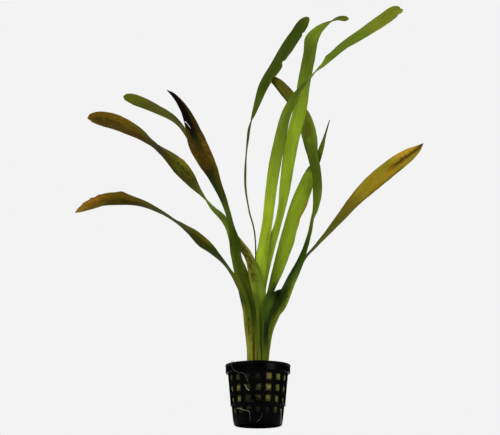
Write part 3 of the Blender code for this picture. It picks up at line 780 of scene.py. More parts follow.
class WoolSettings(bpy.types.PropertyGroup):
    """The wool plug's roughness, fibres and colours."""

    lump_height: length_property("Lump height", "How far the broken surface rises and falls", 0.42)
    bulge: length_property("Bulge", "How far the wool presses out into a window", 1.5)
    fibre_length: length_property("Fibre length", "Length of a loose fibre", 3.4)
    fibre_radius: length_property("Fibre radius", "Half the thickness of a loose fibre", 0.06)
    fibres_a_square_mm: bpy.props.FloatProperty(
        name="Fibre density",
        description="Loose fibres on a square millimetre",
        default=0.34,
        min=0.0,
        max=2.0,
    )
    seed: bpy.props.IntProperty(name="Seed", description="Arrangement of the fibres", default=7)
    fresh: colour_property("Wool", "Wool stained by green water", "#808034")
    algae: colour_property("Algae", "Wool under a film of algae", "#5C6A1E")
    dry: colour_property("Dry wool", "Wool that has stayed nearly clean", "#8C7C50")
    # Painted shade: the near-black that the wool takes where the lattice shades it.
    damp: colour_property("Damp wool", "Soaked wool in the shade of the lattice", "#0E0F08")


class BladeSettings(bpy.types.PropertyGroup):
    """The shape that all blades share."""

    thickness: length_property("Thickness", "Thickness beside the midrib", 0.5)
    rib: length_property("Midrib", "How deep the midrib's groove is", 0.22)
    cup: share_property("Cup", "How far the edges curl, as a share of the half width", 0.16)
    ripple_height: length_property("Ripple height", "How far the edges wave", 0.45)
    ripple_length: length_property("Ripple length", "Length of a wave along the edge", 17)
    cuts: bpy.props.IntProperty(
        name="Cuts", description="Sections from one listed point to the next", default=10
    )
    vein_pitch: length_property("Vein pitch", "Distance from one lengthwise vein to the next", 1.5)


class TissueSettings(bpy.types.PropertyGroup):
    """The colours of the plant's tissues, living, ageing and dead."""

    sheath: colour_property("Sheath", "Pale foot of a blade that light seldom reaches", "#84852D")
    lime: colour_property("Lime", "Youngest living tissue", "#889C1E")
    fresh: colour_property("Fresh", "Young living tissue", "#7C921D")
    leaf_green: colour_property("Leaf green", "Grown living tissue", "#6A7D19")
    khaki: colour_property("Khaki", "Yellowed tissue near the foot", "#747620")
    khaki_green: colour_property("Khaki green", "Pale grown tissue near the foot", "#69731B")
    grass: colour_property("Grass", "Firm tissue in full growth", "#576915")
    moss: colour_property("Moss", "Thick tissue", "#46540E")
    deep: colour_property("Deep", "Darkest living tissue", "#364306")
    # Painted shade: the green of thick tissue where other blades or a fold shade it.
    shade_green: colour_property("Pine", "Thick tissue in the shade", "#2C4406")
    dusk: colour_property("Dusk", "Aged tissue, dark green", "#2B3804")
    # Painted shade: nearly black green where a fold or a blade just in front shades the tissue.
    deep_shade_green: colour_property("Night", "Folded tissue, nearly black green", "#152407")
    olive_green: colour_property("Olive green", "Tissue that starts to age", "#54570C")
    olive: colour_property("Olive", "Ageing tissue", "#57530E")
    drab: colour_property("Drab", "Aged tissue, more brown than green", "#44450B")
    peat_green: colour_property("Peat green", "Aged tissue in the dark", "#2F3103")
    peat: colour_property("Peat", "Aged tissue, dark brown", "#302D03")
    ripe: colour_property("Ripe", "Grown tissue, a little yellowed", "#666F15")
    umber: colour_property("Umber", "Brown tissue", "#3E3803")
    bronze: colour_property("Bronze", "Brown tissue, thin", "#504305")
    tan: colour_property("Tan", "Brown tissue, drying", "#5F4809")
    copper: colour_property("Copper", "Dry tissue at an edge", "#7C621B")
    honey: colour_property("Honey", "Yellowed tissue, thick", "#6C5E12")
    ochre: colour_property("Ochre", "Yellowed tissue", "#857718")
    straw: colour_property("Straw", "Yellowed tissue, dry", "#B08520")
    amber: colour_property("Amber", "Dry tissue, orange brown", "#955E14")
    rust: colour_property("Rust", "Dying tissue", "#674507")
    walnut: colour_property("Walnut", "Dead tissue, brown", "#3C2A05")
    bark: colour_property("Bark", "Dead tissue, dark", "#2C2003")
    char: colour_property("Char", "Dead tissue, rotted black", "#060200")
    # Painted light: the pale backdrop as it shows through a tear in a blade.
    backdrop_through_tear: colour_property("Bleached", "Dead tissue, torn and bleached", "#F0EEE8")


class RootSettings(bpy.types.PropertyGroup):
    """The roots' thickness and colours."""

    radius: length_property("Radius", "Half the thickness of a root where it leaves the wool", 0.2)
    wander: length_property("Wander", "How far a root strays from its line", 0.18)
    taper: share_property("Taper", "Share of the thickness that's lost by the tip", 0.5)
    pale: colour_property("Root", "Living root", "#E9E4CF")
    stained: colour_property("Stained root", "Root that has lain against the wool", "#A39465")
    old: colour_property("Old root", "Root that has gone brown", "#26251D")


class StageSettings(bpy.types.PropertyGroup):
    """The room, its light and the camera's lens."""

    backdrop: colour_property("Backdrop", "Plain pale room", "#F3F3F3")
    room_light: bpy.props.FloatProperty(
        name="Room light", description="Strength of the light from all round", default=0.55, min=0.0
    )
    key_power: power_property("Key light", "Power of the large light at the front left", 13.0)
    fill_power: power_property("Fill light", "Power of the light at the front right", 8.0)
    top_power: power_property("Top light", "Power of the light over the plant", 6.0)
    back_power: power_property("Back light", "Power of the light behind the plant", 6.0)


def feed(tree, node, inputs):
    """Sets a node's inputs to values, to other nodes' sockets, or to the first outputs of other nodes."""
    for name, value in dict(inputs).items():
        if isinstance(value, bpy.types.Node):
            value = value.outputs[0]
        if isinstance(value, bpy.types.NodeSocket):
            tree.links.new(value, node.inputs[name])
        else:
            node.inputs[name].default_value = value


def add(tree, kind, inputs=(), **settings):
    """Adds a node with its own settings, and feeds its inputs."""
    node = tree.nodes.new(kind)
    for name, value in settings.items():
        setattr(node, name, value)
    feed(tree, node, inputs)
    return node


def new_finish(name):
    """A new material and its Principled shader."""
    material = bpy.data.materials.new(name)
    material.use_nodes = True
    return material, material.node_tree.nodes["Principled BSDF"]


def new_shaper(name, inputs):
    """A Geometry Nodes tree with these named inputs, and its input sockets."""
    tree = bpy.data.node_groups.new(name, "GeometryNodeTree")
    tree.interface.new_socket("Geometry", in_out="INPUT", socket_type="NodeSocketGeometry")
    for label, kind in inputs.items():
        tree.interface.new_socket(label, in_out="INPUT", socket_type="NodeSocket" + kind)
    tree.interface.new_socket("Geometry", in_out="OUTPUT", socket_type="NodeSocketGeometry")
    return tree, tree.nodes.new("NodeGroupInput").outputs


def end_shaper(tree, geometry, material):
    """Closes a tree: instances made real, shaded smooth, and given their material."""
    real = add(tree, "GeometryNodeRealizeInstances", {"Geometry": geometry})
    smooth = add(tree, "GeometryNodeSetShadeSmooth", {"Geometry": real})
    finished = add(tree, "GeometryNodeSetMaterial", {"Geometry": smooth, "Material": material})
    add(tree, "NodeGroupOutput", {0: finished})


def new_piece(name, data):
    """Puts a mesh, a light or a camera in the scene on a new object."""
    piece = bpy.data.objects.new(name, data)
    bpy.context.scene.collection.objects.link(piece)
    return piece


def bake(name, mesh, tree, values):
    """Runs a tree on a mesh with its inputs set, and keeps the result as a plain mesh on a new object."""
    piece = new_piece(name, mesh)
    modifier = piece.modifiers.new(name, "NODES")
    modifier.node_group = tree
    for socket in tree.interface.items_tree:
        if socket.in_out == "INPUT" and socket.name in values:
            modifier[socket.identifier] = values[socket.name]
    graph = bpy.context.evaluated_depsgraph_get()
    result = bpy.data.meshes.new_from_object(piece.evaluated_get(graph), depsgraph=graph)
    piece.modifiers.remove(modifier)
    piece.data = result
    result.name = name
    if not result.polygons:
        raise RuntimeError(f"{name} came out empty")
    return piece


def face_outwards(mesh):
    """Turns all faces of a closed mesh outwards."""
    model = bmesh.new()
    model.from_mesh(mesh)
    bmesh.ops.recalc_face_normals(model, faces=model.faces)
    model.to_mesh(mesh)
    model.free()


def closed_mesh(name, points, faces):
    """A mesh from points in millimetres, with its faces turned outwards and smooth."""
    mesh = bpy.data.meshes.new(name)
    mesh.from_pydata([point * MM for point in points], [], faces)
    face_outwards(mesh)
    mesh.shade_smooth()
    return mesh


def turned_faces(rings, sectors):
    """Faces of a turned body, whose points are its lower pole, its upper pole and then its rings."""
    last = 2 + (rings - 1) * sectors
    faces = []
    for sector in range(sectors):
        other = (sector + 1) % sectors
        faces.append((0, 2 + sector, 2 + other))
        faces.append((1, last + sector, last + other))
        for ring in range(rings - 1):
            low, high = 2 + ring * sectors, 2 + (ring + 1) * sectors
            faces.append((low + sector, low + other, high + other, high + sector))
    return faces


def set_attribute(mesh, name, kind, values):
    """Stores one value a point: FLOAT values, or FLOAT_VECTOR values of three numbers."""
    attribute = mesh.attributes.new(name, kind, "POINT")
    if kind == "FLOAT_VECTOR":
        attribute.data.foreach_set("vector", [number for value in values for number in value])
    else:
        attribute.data.foreach_set("value", values)


def install(piece, slot, *nodes):
    """Puts a finished piece on the plant's one body, in place of these CAD nodes."""
    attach(piece, "root")
    if nodes:
        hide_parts(*nodes)


def blend(a, b, c, d, t):
    """The value a share t of the way from b to c, on a smooth line through a, b, c and d."""
    square = 2 * a - 5 * b + 4 * c - d
    cube = 3 * b - a - 3 * c + d
    return 0.5 * (2 * b + (c - a) * t + square * t**2 + cube * t**3)


def spline(rows, cuts):
    """Catmull-Rom values through rows of numbers, with this many steps from each row to the next."""
    rows = [tuple(map(float, row)) for row in rows]
    first = tuple(2 * a - b for a, b in zip(rows[0], rows[1]))
    last = tuple(2 * a - b for a, b in zip(rows[-1], rows[-2]))
    padded = [first, *rows, last]
    values = []
    for index in range(len(rows) - 1):
        before, start, end, after = padded[index : index + 4]
        for cut in range(cuts):
            values.append(tuple(blend(*four, cut / cuts) for four in zip(before, start, end, after)))
    values.append(rows[-1])
    return values


def around(angle, radius, height):
    """A point round the pot's axis, at an angle to the right of the front."""
    turn = math.radians(angle)
    return Vector((radius * math.sin(turn), -radius * math.cos(turn), height))


def sight(right, up, depth):
    """The point at this depth on the line of sight, and how much further off it is than the pot."""
    seen = -EYE + Vector((right, -up * math.sin(EYE_TILT), up * math.cos(EYE_TILT)))
    share = (depth - EYE.y) / seen.y
    return EYE + seen * share, share


def wall_radius(height):
    """The pot wall's outer radius, which has a step and a slight taper on both sides of it."""
    if height < STEP_HEIGHT:
        return LOWER_RADIUS + LOWER_SPREAD * height / STEP_HEIGHT
    return UPPER_RADIUS + UPPER_SPREAD * (height - STEP_HEIGHT) / (SKIRT_BOTTOM - STEP_HEIGHT)


def window_bottoms():
    """The height that each row of windows starts at."""
    return [LOWEST_WINDOW + WINDOW_PITCH * row for row in range(WINDOW_ROWS)]


# Net pot


def pot_rings(pot):
    """Rings of points from the foot's middle to the rim, in millimetres.

    Each has an outer radius and height, an inner radius and height, and what is open above it, if anything.
    """
    top, rim, wall = pot.height / MM, pot.rim_radius / MM, pot.wall / MM
    rings = [
        ((5.5, 0), (5.5, FLOOR), "slot"),
        ((14.5, 0), (14.5, FLOOR), ""),
        ((16.6, 0), (16.2, FLOOR), ""),
        ((17.6, 0.1), (16.9, 1.3), ""),
        ((18.7, 0.5), (17.5, 1.8), ""),
        ((19.2, 1.4), (18.1, 2.6), ""),
    ]

    def wall_ring(height, kind=""):
        rings.append(((wall_radius(height), height), (wall_radius(height) - wall, height), kind))

    lowest, *upper = window_bottoms()
    wall_ring(5.2)
    wall_ring(lowest, "window")
    wall_ring(lowest + WINDOW_HEIGHT)
    rings.append(((20.9, STEP_HEIGHT - 0.3), (19.8, STEP_HEIGHT - 0.5), ""))
    rings.append(((21.75, STEP_HEIGHT - 0.1), (20.05, STEP_HEIGHT + 0.2), ""))
    rings.append(((22.0, STEP_HEIGHT + 0.2), (20.25, STEP_HEIGHT + 0.6), ""))
    for bottom in upper:
        wall_ring(bottom, "window")
        wall_ring(bottom + WINDOW_HEIGHT)
    wall_ring(SKIRT_BOTTOM - 0.2)
    rings += [
        ((rim - 0.5, SKIRT_BOTTOM), (23.0, SKIRT_BOTTOM + 0.7), ""),
        ((rim - 0.2, SKIRT_BOTTOM + 0.25), (23.3, SKIRT_BOTTOM + 1.6), ""),
        ((rim - 0.28, top - 2.1), (23.6, top - 2.4), ""),
        ((rim - 0.02, top - 1.7), (23.65, top - 1.4), ""),
        ((rim, top - 0.6), (23.7, top - 0.7), ""),
        ((rim - 0.2, top - 0.15), (23.85, top - 0.25), ""),
        ((rim - 0.65, top), (24.3, top - 0.02), ""),
    ]
    return rings


def pot_sector(pot):
    """An eighth of the pot with two columns of windows, open along both of its sides."""
    half = WINDOW_TURN * pot.window_share / 2
    lines = []
    for column in (0, 1):
        for place in (-half, -half / 2, 0, half / 2, half):
            lines.append((column * WINDOW_TURN + place, "pane"))
        lines.append((column * WINDOW_TURN + half + RIB_TURN, "rib"))
        lines.append((column * WINDOW_TURN + WINDOW_TURN / 2, "rib"))
        if column == 0:
            lines.append((WINDOW_TURN - half - RIB_TURN, "rib"))
    lines = [(-WINDOW_TURN / 2, "rib"), (-half - RIB_TURN, "rib"), *lines]
    rings = pot_rings(pot)
    proud = pot.rib_height / MM
    points = [Vector((0, 0, 0)), Vector((0, 0, FLOOR))]
    for (outer, low), (inner, high), _ in rings:
        ribbed = RIB_BOTTOM < low < SKIRT_BOTTOM
        for angle, kind in lines:
            points.append(around(angle, outer + proud * (ribbed and kind == "rib"), low))
        for angle, _ in lines:
            points.append(around(angle, inner, high))
    count = len(lines)

    def skin(ring, line, inside):
        return 2 + (2 * ring + inside) * count + line

    def is_open(ring, line):
        if ring < 0 or line < 0 or ring >= len(rings) - 1 or line >= count - 1:
            return False
        pane = lines[line][1] == lines[line + 1][1] == "pane"
        kind = rings[ring][2]
        return pane and (kind == "window" or (kind == "slot" and lines[line][0] < WINDOW_TURN / 2))

    faces = []
    top = len(rings) - 1
    for line in range(count - 1):
        faces.append((0, skin(0, line, 0), skin(0, line + 1, 0)))
        faces.append((1, skin(0, line, 1), skin(0, line + 1, 1)))
        faces.append(
            (skin(top, line, 0), skin(top, line + 1, 0), skin(top, line + 1, 1), skin(top, line, 1))
        )
        for ring in range(top):
            corners = ((ring, line), (ring, line + 1), (ring + 1, line + 1), (ring + 1, line))
            if not is_open(ring, line):
                faces.extend(tuple(skin(r, c, inside) for r, c in corners) for inside in (0, 1))
                continue
            beyond = ((ring - 1, line), (ring, line + 1), (ring + 1, line), (ring, line - 1))
            for (r1, c1), (r2, c2), other in zip(corners, corners[1:] + corners[:1], beyond):
                if not is_open(*other):
                    faces.append((skin(r1, c1, 0), skin(r2, c2, 0), skin(r2, c2, 1), skin(r1, c1, 1)))
    mesh = bpy.data.meshes.new("pot_sector")
    mesh.from_pydata([point * MM for point in points], [], faces)
    return mesh


def pot_shaper():
    """Turns a sector round the pot's axis as often as it takes to close the pot."""
    tree, given = new_shaper("Pot from sectors", {"Sectors": "Int", "Material": "Material"})
    line = add(tree, "GeometryNodeMeshLine", {"Count": given["Sectors"], "Offset": (0, 0, 0)})
    turn = add(tree, "ShaderNodeMath", {0: math.tau, 1: given["Sectors"]}, operation="DIVIDE")
    index = add(tree, "GeometryNodeInputIndex")
    angle = add(tree, "ShaderNodeMath", {0: index, 1: turn}, operation="MULTIPLY")
    rotation = add(tree, "ShaderNodeCombineXYZ", {"Z": angle})
    copies = add(
        tree,
        "GeometryNodeInstanceOnPoints",
        {"Points": line, "Instance": given["Geometry"], "Rotation": rotation},
    )
    real = add(tree, "GeometryNodeRealizeInstances", {"Geometry": copies})
    joined = add(tree, "GeometryNodeMergeByDistance", {"Geometry": real, "Distance": 0.01 * MM})
    end_shaper(tree, joined, given["Material"])
    return tree


def pot_finish(pot):
    """Black polypropylene, injection moulded: deep black, its sheen dulled in places by handling."""
    material, shader = new_finish("black polypropylene, injection moulded")
    tree = material.node_tree
    place = add(tree, "ShaderNodeTexCoord").outputs["Object"]
    cloud = add(tree, "ShaderNodeTexNoise", {"Vector": place, "Scale": 1 / (9 * MM), "Detail": 5.0})
    grain = add(tree, "ShaderNodeTexNoise", {"Vector": place, "Scale": 1 / (0.35 * MM), "Detail": 3.0})
    dull = add(tree, "ShaderNodeMapRange", {0: cloud, 1: 0.42, 2: 0.75, 3: 0.0, 4: 0.5})
    colour = add(
        tree, "ShaderNodeMix", {0: dull, 6: tuple(pot.plastic), 7: tuple(pot.dust)}, data_type="RGBA"
    )
    gloss = add(tree, "ShaderNodeMapRange", {0: cloud, 1: 0.3, 2: 0.7, 3: 0.2, 4: 0.36})
    # Orange peel from the mould's polish, drawn coarser than its 0.1 mm so that it shows.
    peel = add(tree, "ShaderNodeBump", {"Strength": 0.25, "Distance": 0.03 * MM, "Height": grain})
    feed(tree, shader, {"Base Color": colour.outputs[2], "Roughness": gloss, "Normal": peel})
    feed(tree, shader, {"IOR": 1.49, "Specular IOR Level": 0.045})
    return material


class VALLISNERIA_OT_net_pot(bpy.types.Operator):
    """Build the moulded net pot from equal sectors"""

    bl_idname = "vallisneria.net_pot"
    bl_label = "Net Pot"

    def execute(self, context):
        pot = context.scene.vallisneria_pot
        values = {"Sectors": SECTORS, "Material": pot_finish(pot)}
        piece = bake("pot_shell", pot_sector(pot), pot_shaper(), values)
        face_outwards(piece.data)
        piece.data.shade_smooth()
        rounding = piece.modifiers.new("moulded edges", "BEVEL")
        rounding.width = pot.rounding
        rounding.segments = 2
        rounding.limit_method = "ANGLE"
        rounding.angle_limit = math.radians(32)
        rounding.harden_normals = True
        install(piece, "pot_plastic", "net_pot")
        return {"FINISHED"}


# Wool plug


def in_window(angle, height):
    """How far inside the nearest window a place on the wall is: 1 in its middle, 0 at its frame."""
    half = WINDOW_TURN / 2
    aside = abs((angle + half) % WINDOW_TURN - half) / (half * WINDOW_SHARE)
    offsets = (abs(height - bottom - WINDOW_HEIGHT / 2) for bottom in window_bottoms())
    level = min(offsets) / (WINDOW_HEIGHT / 2)
    return max(0.0, 1 - aside**2) * max(0.0, 1 - level**2)


def nearness(place, patches):
    """How strongly the strongest of these patches of the wool is felt at a place."""
    felt = 0.0
    for angle, height, reach, strength in patches:
        far = (place - around(angle, WOOL_RADIUS, height)).length / reach
        felt = max(felt, strength * math.exp(-(far**2)))
    return felt


def wool_mesh(wool):
    """The plug, with a pit for the crown: torn lumps all over, pressed out a little into the windows."""
    profile = [
        (0, 1.62),
        (8, 1.62),
        (16.2, 1.62),
        (17.3, 3.0),
        (wall_radius(LOWEST_WINDOW) - WOOL_INSET, LOWEST_WINDOW),
        (wall_radius(STEP_HEIGHT - 1) - WOOL_INSET, STEP_HEIGHT - 1),
        (wall_radius(STEP_HEIGHT) - WOOL_INSET - 0.4, STEP_HEIGHT + 1.5),
        (wall_radius(WOOL_TOP - 6) - WOOL_INSET, WOOL_TOP - 6),
        (wall_radius(WOOL_TOP - 1.4) - WOOL_INSET, WOOL_TOP - 1.4),
        (wall_radius(WOOL_TOP) - WOOL_INSET - 1.6, WOOL_TOP),
        (PIT_RADIUS + 2, WOOL_TOP),
        (PIT_RADIUS, WOOL_TOP - 1.2),
        (PIT_RADIUS - 0.2, WOOL_TOP - 7),
        (PIT_RADIUS - 2.6, PIT_BOTTOM + 1.2),
        (PIT_RADIUS - 5, PIT_BOTTOM),
        (0, PIT_BOTTOM),
    ]
    fine = [profile[0]]
    for (r1, h1), (r2, h2) in zip(profile, profile[1:]):
        parts = max(1, round(math.hypot(r2 - r1, h2 - h1) / WOOL_STEP))
        for part in range(1, parts + 1):
            fine.append((r1 + (r2 - r1) * part / parts, h1 + (h2 - h1) * part / parts))
    lump = wool.lump_height / MM
    bulge = wool.bulge / MM
    points = [Vector((0, 0, fine[0][1])), Vector((0, 0, fine[-1][1]))]
    for index in range(1, len(fine) - 1):
        (r1, h1), (radius, height), (r2, h2) = fine[index - 1 : index + 2]
        run = Vector((r2 - r1, h2 - h1)).normalized()
        for sector in range(WOOL_SECTORS):
            angle = 360.0 * sector / WOOL_SECTORS
            place = around(angle, radius, height)
            coarse = noise.noise(place / LUMP_SIZE)
            torn = noise.noise(place / TEAR_SIZE + Vector((7, 3, 1)))
            lift = lump * (0.7 * coarse + 0.45 * torn)
            if radius > 15 and height < WOOL_TOP - 1:
                lift += bulge * in_window(angle, height)
            out = around(angle, run.y, -run.x)
            points.append(place + out * lift)
    mesh = closed_mesh("wool_plug", points, turned_faces(len(fine) - 2, WOOL_SECTORS))
    # Where the wool is painted dark as shade, and where it has stayed nearly clean.
    set_attribute(mesh, "damp", "FLOAT", [nearness(point, SHADE_PATCHES) for point in points])
    set_attribute(mesh, "clean", "FLOAT", [nearness(point, CLEAN) for point in points])
    return mesh


def wool_finish(wool, fibre):
    """Mineral wool, spun and bonded: matt, blotched by algae, with the criss-cross of its fibres, and
    painted shade where the lattice shades it.
    """
    material, shader = new_finish("mineral wool, " + ("loose fibres" if fibre else "spun and bonded"))
    tree = material.node_tree
    place = add(tree, "ShaderNodeTexCoord").outputs["Object"]
    blotch = add(tree, "ShaderNodeTexNoise", {"Vector": place, "Scale": 1 / (7 * MM), "Detail": 3.0})
    speck = add(tree, "ShaderNodeTexNoise", {"Vector": place, "Scale": 1 / (1.1 * MM), "Detail": 4.0})
    layers = add(tree, "ShaderNodeMapping", {"Vector": place, "Scale": (1.0, 1.0, 3.5)})
    strand = add(
        tree,
        "ShaderNodeTexNoise",
        {"Vector": layers, "Scale": 1 / (1.4 * MM), "Detail": 6.0, "Distortion": 1.5},
    )
    tint = add(
        tree,
        "ShaderNodeMix",
        {
            0: add(tree, "ShaderNodeMapRange", {0: blotch, 1: 0.4, 2: 0.62}),
            6: tuple(wool.fresh),
            7: tuple(wool.algae),
        },
        data_type="RGBA",
    )
    clean = add(tree, "ShaderNodeMapRange", {0: speck, 1: 0.5, 2: 0.72, 3: 0.0, 4: 0.75})
    spared = add(tree, "ShaderNodeAttribute", attribute_name="clean")
    cleaner = add(
        tree, "ShaderNodeMath", {0: clean, 1: spared.outputs["Fac"]}, operation="ADD", use_clamp=True
    )
    fleck = add(
        tree, "ShaderNodeMix", {0: cleaner, 6: tint.outputs[2], 7: tuple(wool.dry)}, data_type="RGBA"
    )
    # Painted shade: the wool goes near-black at the dark places, and random specks darken it as well.
    damp = add(tree, "ShaderNodeAttribute", attribute_name="damp")
    soaked = add(tree, "ShaderNodeMath", {0: speck, 1: 0.5, 2: -0.25}, operation="MULTIPLY_ADD")
    shade_and_specks = add(tree, "ShaderNodeMath", {0: damp.outputs["Fac"], 1: soaked}, operation="ADD", use_clamp=True)
    colour = add(
        tree, "ShaderNodeMix", {0: shade_and_specks, 6: fleck.outputs[2], 7: tuple(wool.damp)}, data_type="RGBA"
    )
    depth = add(tree, "ShaderNodeMapRange", {0: strand, 1: 0.35, 2: 0.65, 3: 0.45, 4: 1.25})
    shaded = add(tree, "ShaderNodeVectorMath", {0: colour.outputs[2], 3: depth}, operation="SCALE")
    feed(tree, shader, {"Base Color": shaded, "Specular IOR Level": 0.3})
    feed(tree, shader, {"Roughness": 0.75 if fibre else 0.95})
    if not fibre:
        weave = add(tree, "ShaderNodeBump", {"Strength": 0.9, "Distance": 0.35 * MM, "Height": strand})
        feed(tree, shader, {"Normal": weave})
    return material


def fibre_shaper():
    """Scatters short bent fibres over a surface, lying nearly flat and pointing anywhere."""
    inputs = {
        "Density": "Float",
        "Fibre length": "Float",
        "Fibre radius": "Float",
        "Seed": "Int",
        "Material": "Material",
    }
    tree, given = new_shaper("Loose fibres", inputs)
    points = add(
        tree,
        "GeometryNodeDistributePointsOnFaces",
        {"Mesh": given["Geometry"], "Density": given["Density"], "Seed": given["Seed"]},
    )
    half, back, arch, aside = (
        add(tree, "ShaderNodeMath", {0: given["Fibre length"], 1: share}, operation="MULTIPLY")
        for share in (0.5, -0.5, 0.16, 0.22)
    )
    curve = add(
        tree,
        "GeometryNodeCurveQuadraticBezier",
        {
            "Resolution": 4,
            "Start": add(tree, "ShaderNodeCombineXYZ", {"X": back}),
            "Middle": add(tree, "ShaderNodeCombineXYZ", {"Y": aside, "Z": arch}),
            "End": add(tree, "ShaderNodeCombineXYZ", {"X": half}),
        },
    )
    ring = add(tree, "GeometryNodeCurvePrimitiveCircle", {"Resolution": 3, "Radius": given["Fibre radius"]})
    fibre = add(tree, "GeometryNodeCurveToMesh", {"Curve": curve, "Profile Curve": ring, "Fill Caps": True})
    copies = add(
        tree,
        "GeometryNodeInstanceOnPoints",
        {"Points": points.outputs["Points"], "Instance": fibre, "Rotation": points.outputs["Rotation"]},
    )
    turn = add(
        tree,
        "FunctionNodeRandomValue",
        {0: (-0.3, -0.25, 0.0), 1: (0.3, 0.25, math.tau), "Seed": given["Seed"]},
        data_type="FLOAT_VECTOR",
    )
    turned = add(
        tree, "GeometryNodeRotateInstances", {"Instances": copies, "Rotation": turn, "Local Space": True}
    )
    size = add(tree, "FunctionNodeRandomValue", {2: 0.45, 3: 1.3, "Seed": given["Seed"]})
    sized = add(
        tree,
        "GeometryNodeScaleInstances",
        {"Instances": turned, "Scale": size.outputs[1], "Local Space": True},
    )
    end_shaper(tree, sized, given["Material"])
    return tree


class VALLISNERIA_OT_wool(bpy.types.Operator):
    """Build the mineral wool plug and its loose fibres"""

    bl_idname = "vallisneria.wool"
    bl_label = "Wool Plug"

    def execute(self, context):
        wool = context.scene.vallisneria_wool
        mesh = wool_mesh(wool)
        values = {
            "Density": wool.fibres_a_square_mm / MM**2,
            "Fibre length": wool.fibre_length,
            "Fibre radius": wool.fibre_radius,
            "Seed": wool.seed,
            "Material": wool_finish(wool, fibre=True),
        }
        fibres = bake("wool_fibres", mesh.copy(), fibre_shaper(), values)
        mesh.materials.append(wool_finish(wool, fibre=False))
        install(new_piece("wool_plug", mesh), "mineral_wool", "rockwool_plug")
        install(fibres, "mineral_wool")
        return {"FINISHED"}


# Crown


def crown_mesh():
    """The short rhizome, ringed by the scars of old leaves and rounded at its top."""
    low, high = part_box("crown")
    radius, bottom, top = high.x / MM, low.z / MM, high.z / MM + CROWN_RISE
    shape = [
        (0.0, 0.0),
        (0.45, 0.0),
        (0.72, 0.08),
        (0.9, 0.2),
        (0.86, 0.28),
        (0.98, 0.4),
        (0.93, 0.48),
        (1.0, 0.6),
        (0.94, 0.7),
        (0.9, 0.78),
        (0.78, 0.86),
        (0.6, 0.93),
        (0.38, 0.98),
        (0.0, 1.0),
    ]
    rings = spline(shape, 4)[1:-1]
    points = [Vector((0, 0, bottom)), Vector((0, 0, top))]
    for across, up in rings:
        for sector in range(CROWN_SECTORS):
            angle = 360.0 * sector / CROWN_SECTORS
            place = around(angle, radius * max(across, 0.02), bottom + (top - bottom) * up)
            swell = 0.5 * noise.noise(Vector((place.x, place.y, place.z * 0.6)) / 2.4)
            out = Vector((place.x, place.y, 0)).normalized()
            points.append(place + out * swell + Vector((0, 0, swell * 0.8)))
    return closed_mesh("crown_knob", points, turned_faces(len(rings), CROWN_SECTORS))


def crown_finish(tissues):
    """Living rhizome, grown: waxy pale tissue with brown scars where leaves came away."""
    material, shader = new_finish("rhizome, grown")
    tree = material.node_tree
    place = add(tree, "ShaderNodeTexCoord").outputs["Object"]
    blotch = add(tree, "ShaderNodeTexNoise", {"Vector": place, "Scale": 1 / (3 * MM), "Detail": 4.0})
    rings = add(
        tree,
        "ShaderNodeTexWave",
        {
            "Vector": place,
            "Scale": WAVE_LENGTH / (1.6 * MM),
            "Distortion": 3.0,
            "Detail": 2.0,
            "Detail Scale": 1.0,
        },
        bands_direction="Z",
    )
    scar = add(tree, "ShaderNodeMapRange", {0: rings.outputs["Fac"], 1: 0.55, 2: 0.95, 3: 0.0, 4: 0.6})
    flesh = add(
        tree,
        "ShaderNodeMix",
        {0: blotch, 6: tuple(tissues.sheath), 7: tuple(tissues.khaki_green)},
        data_type="RGBA",
    )
    colour = add(
        tree, "ShaderNodeMix", {0: scar, 6: flesh.outputs[2], 7: tuple(tissues.tan)}, data_type="RGBA"
    )
    relief = add(
        tree, "ShaderNodeBump", {"Strength": 0.5, "Distance": 0.2 * MM, "Height": rings.outputs["Fac"]}
    )
    feed(tree, shader, {"Base Color": colour.outputs[2], "Normal": relief, "Roughness": 0.5})
    return material


class VALLISNERIA_OT_crown(bpy.types.Operator):
    """Build the short rhizome that the blades grow from"""

    bl_idname = "vallisneria.crown"
    bl_label = "Crown"

    def execute(self, context):
        mesh = crown_mesh()
        mesh.materials.append(crown_finish(context.scene.vallisneria_tissues))
        install(new_piece("crown_knob", mesh), "crown_tissue", "crown")
        return {"FINISHED"}


# Blades

# Places across a blade, closer together at its edges and midrib.
SPREAD = (-1, -0.95, -0.8, -0.58, -0.34, -0.12, 0, 0.12, 0.34, 0.58, 0.8, 0.95)


def blade_seed(name):
    """A number of its own for each blade, so that no two have the same pattern."""
    return sorted(BLADES).index(name) * FINISH_STEP


def dent_share(station, side, dents):
    """How much of the half width the dents leave at a point along the blade."""
    left = 1.0
    for at, dent_side, depth, reach in dents:
        if dent_side == side:
            left -= depth * math.exp(-(((station - at) / reach) ** 2))
    return left


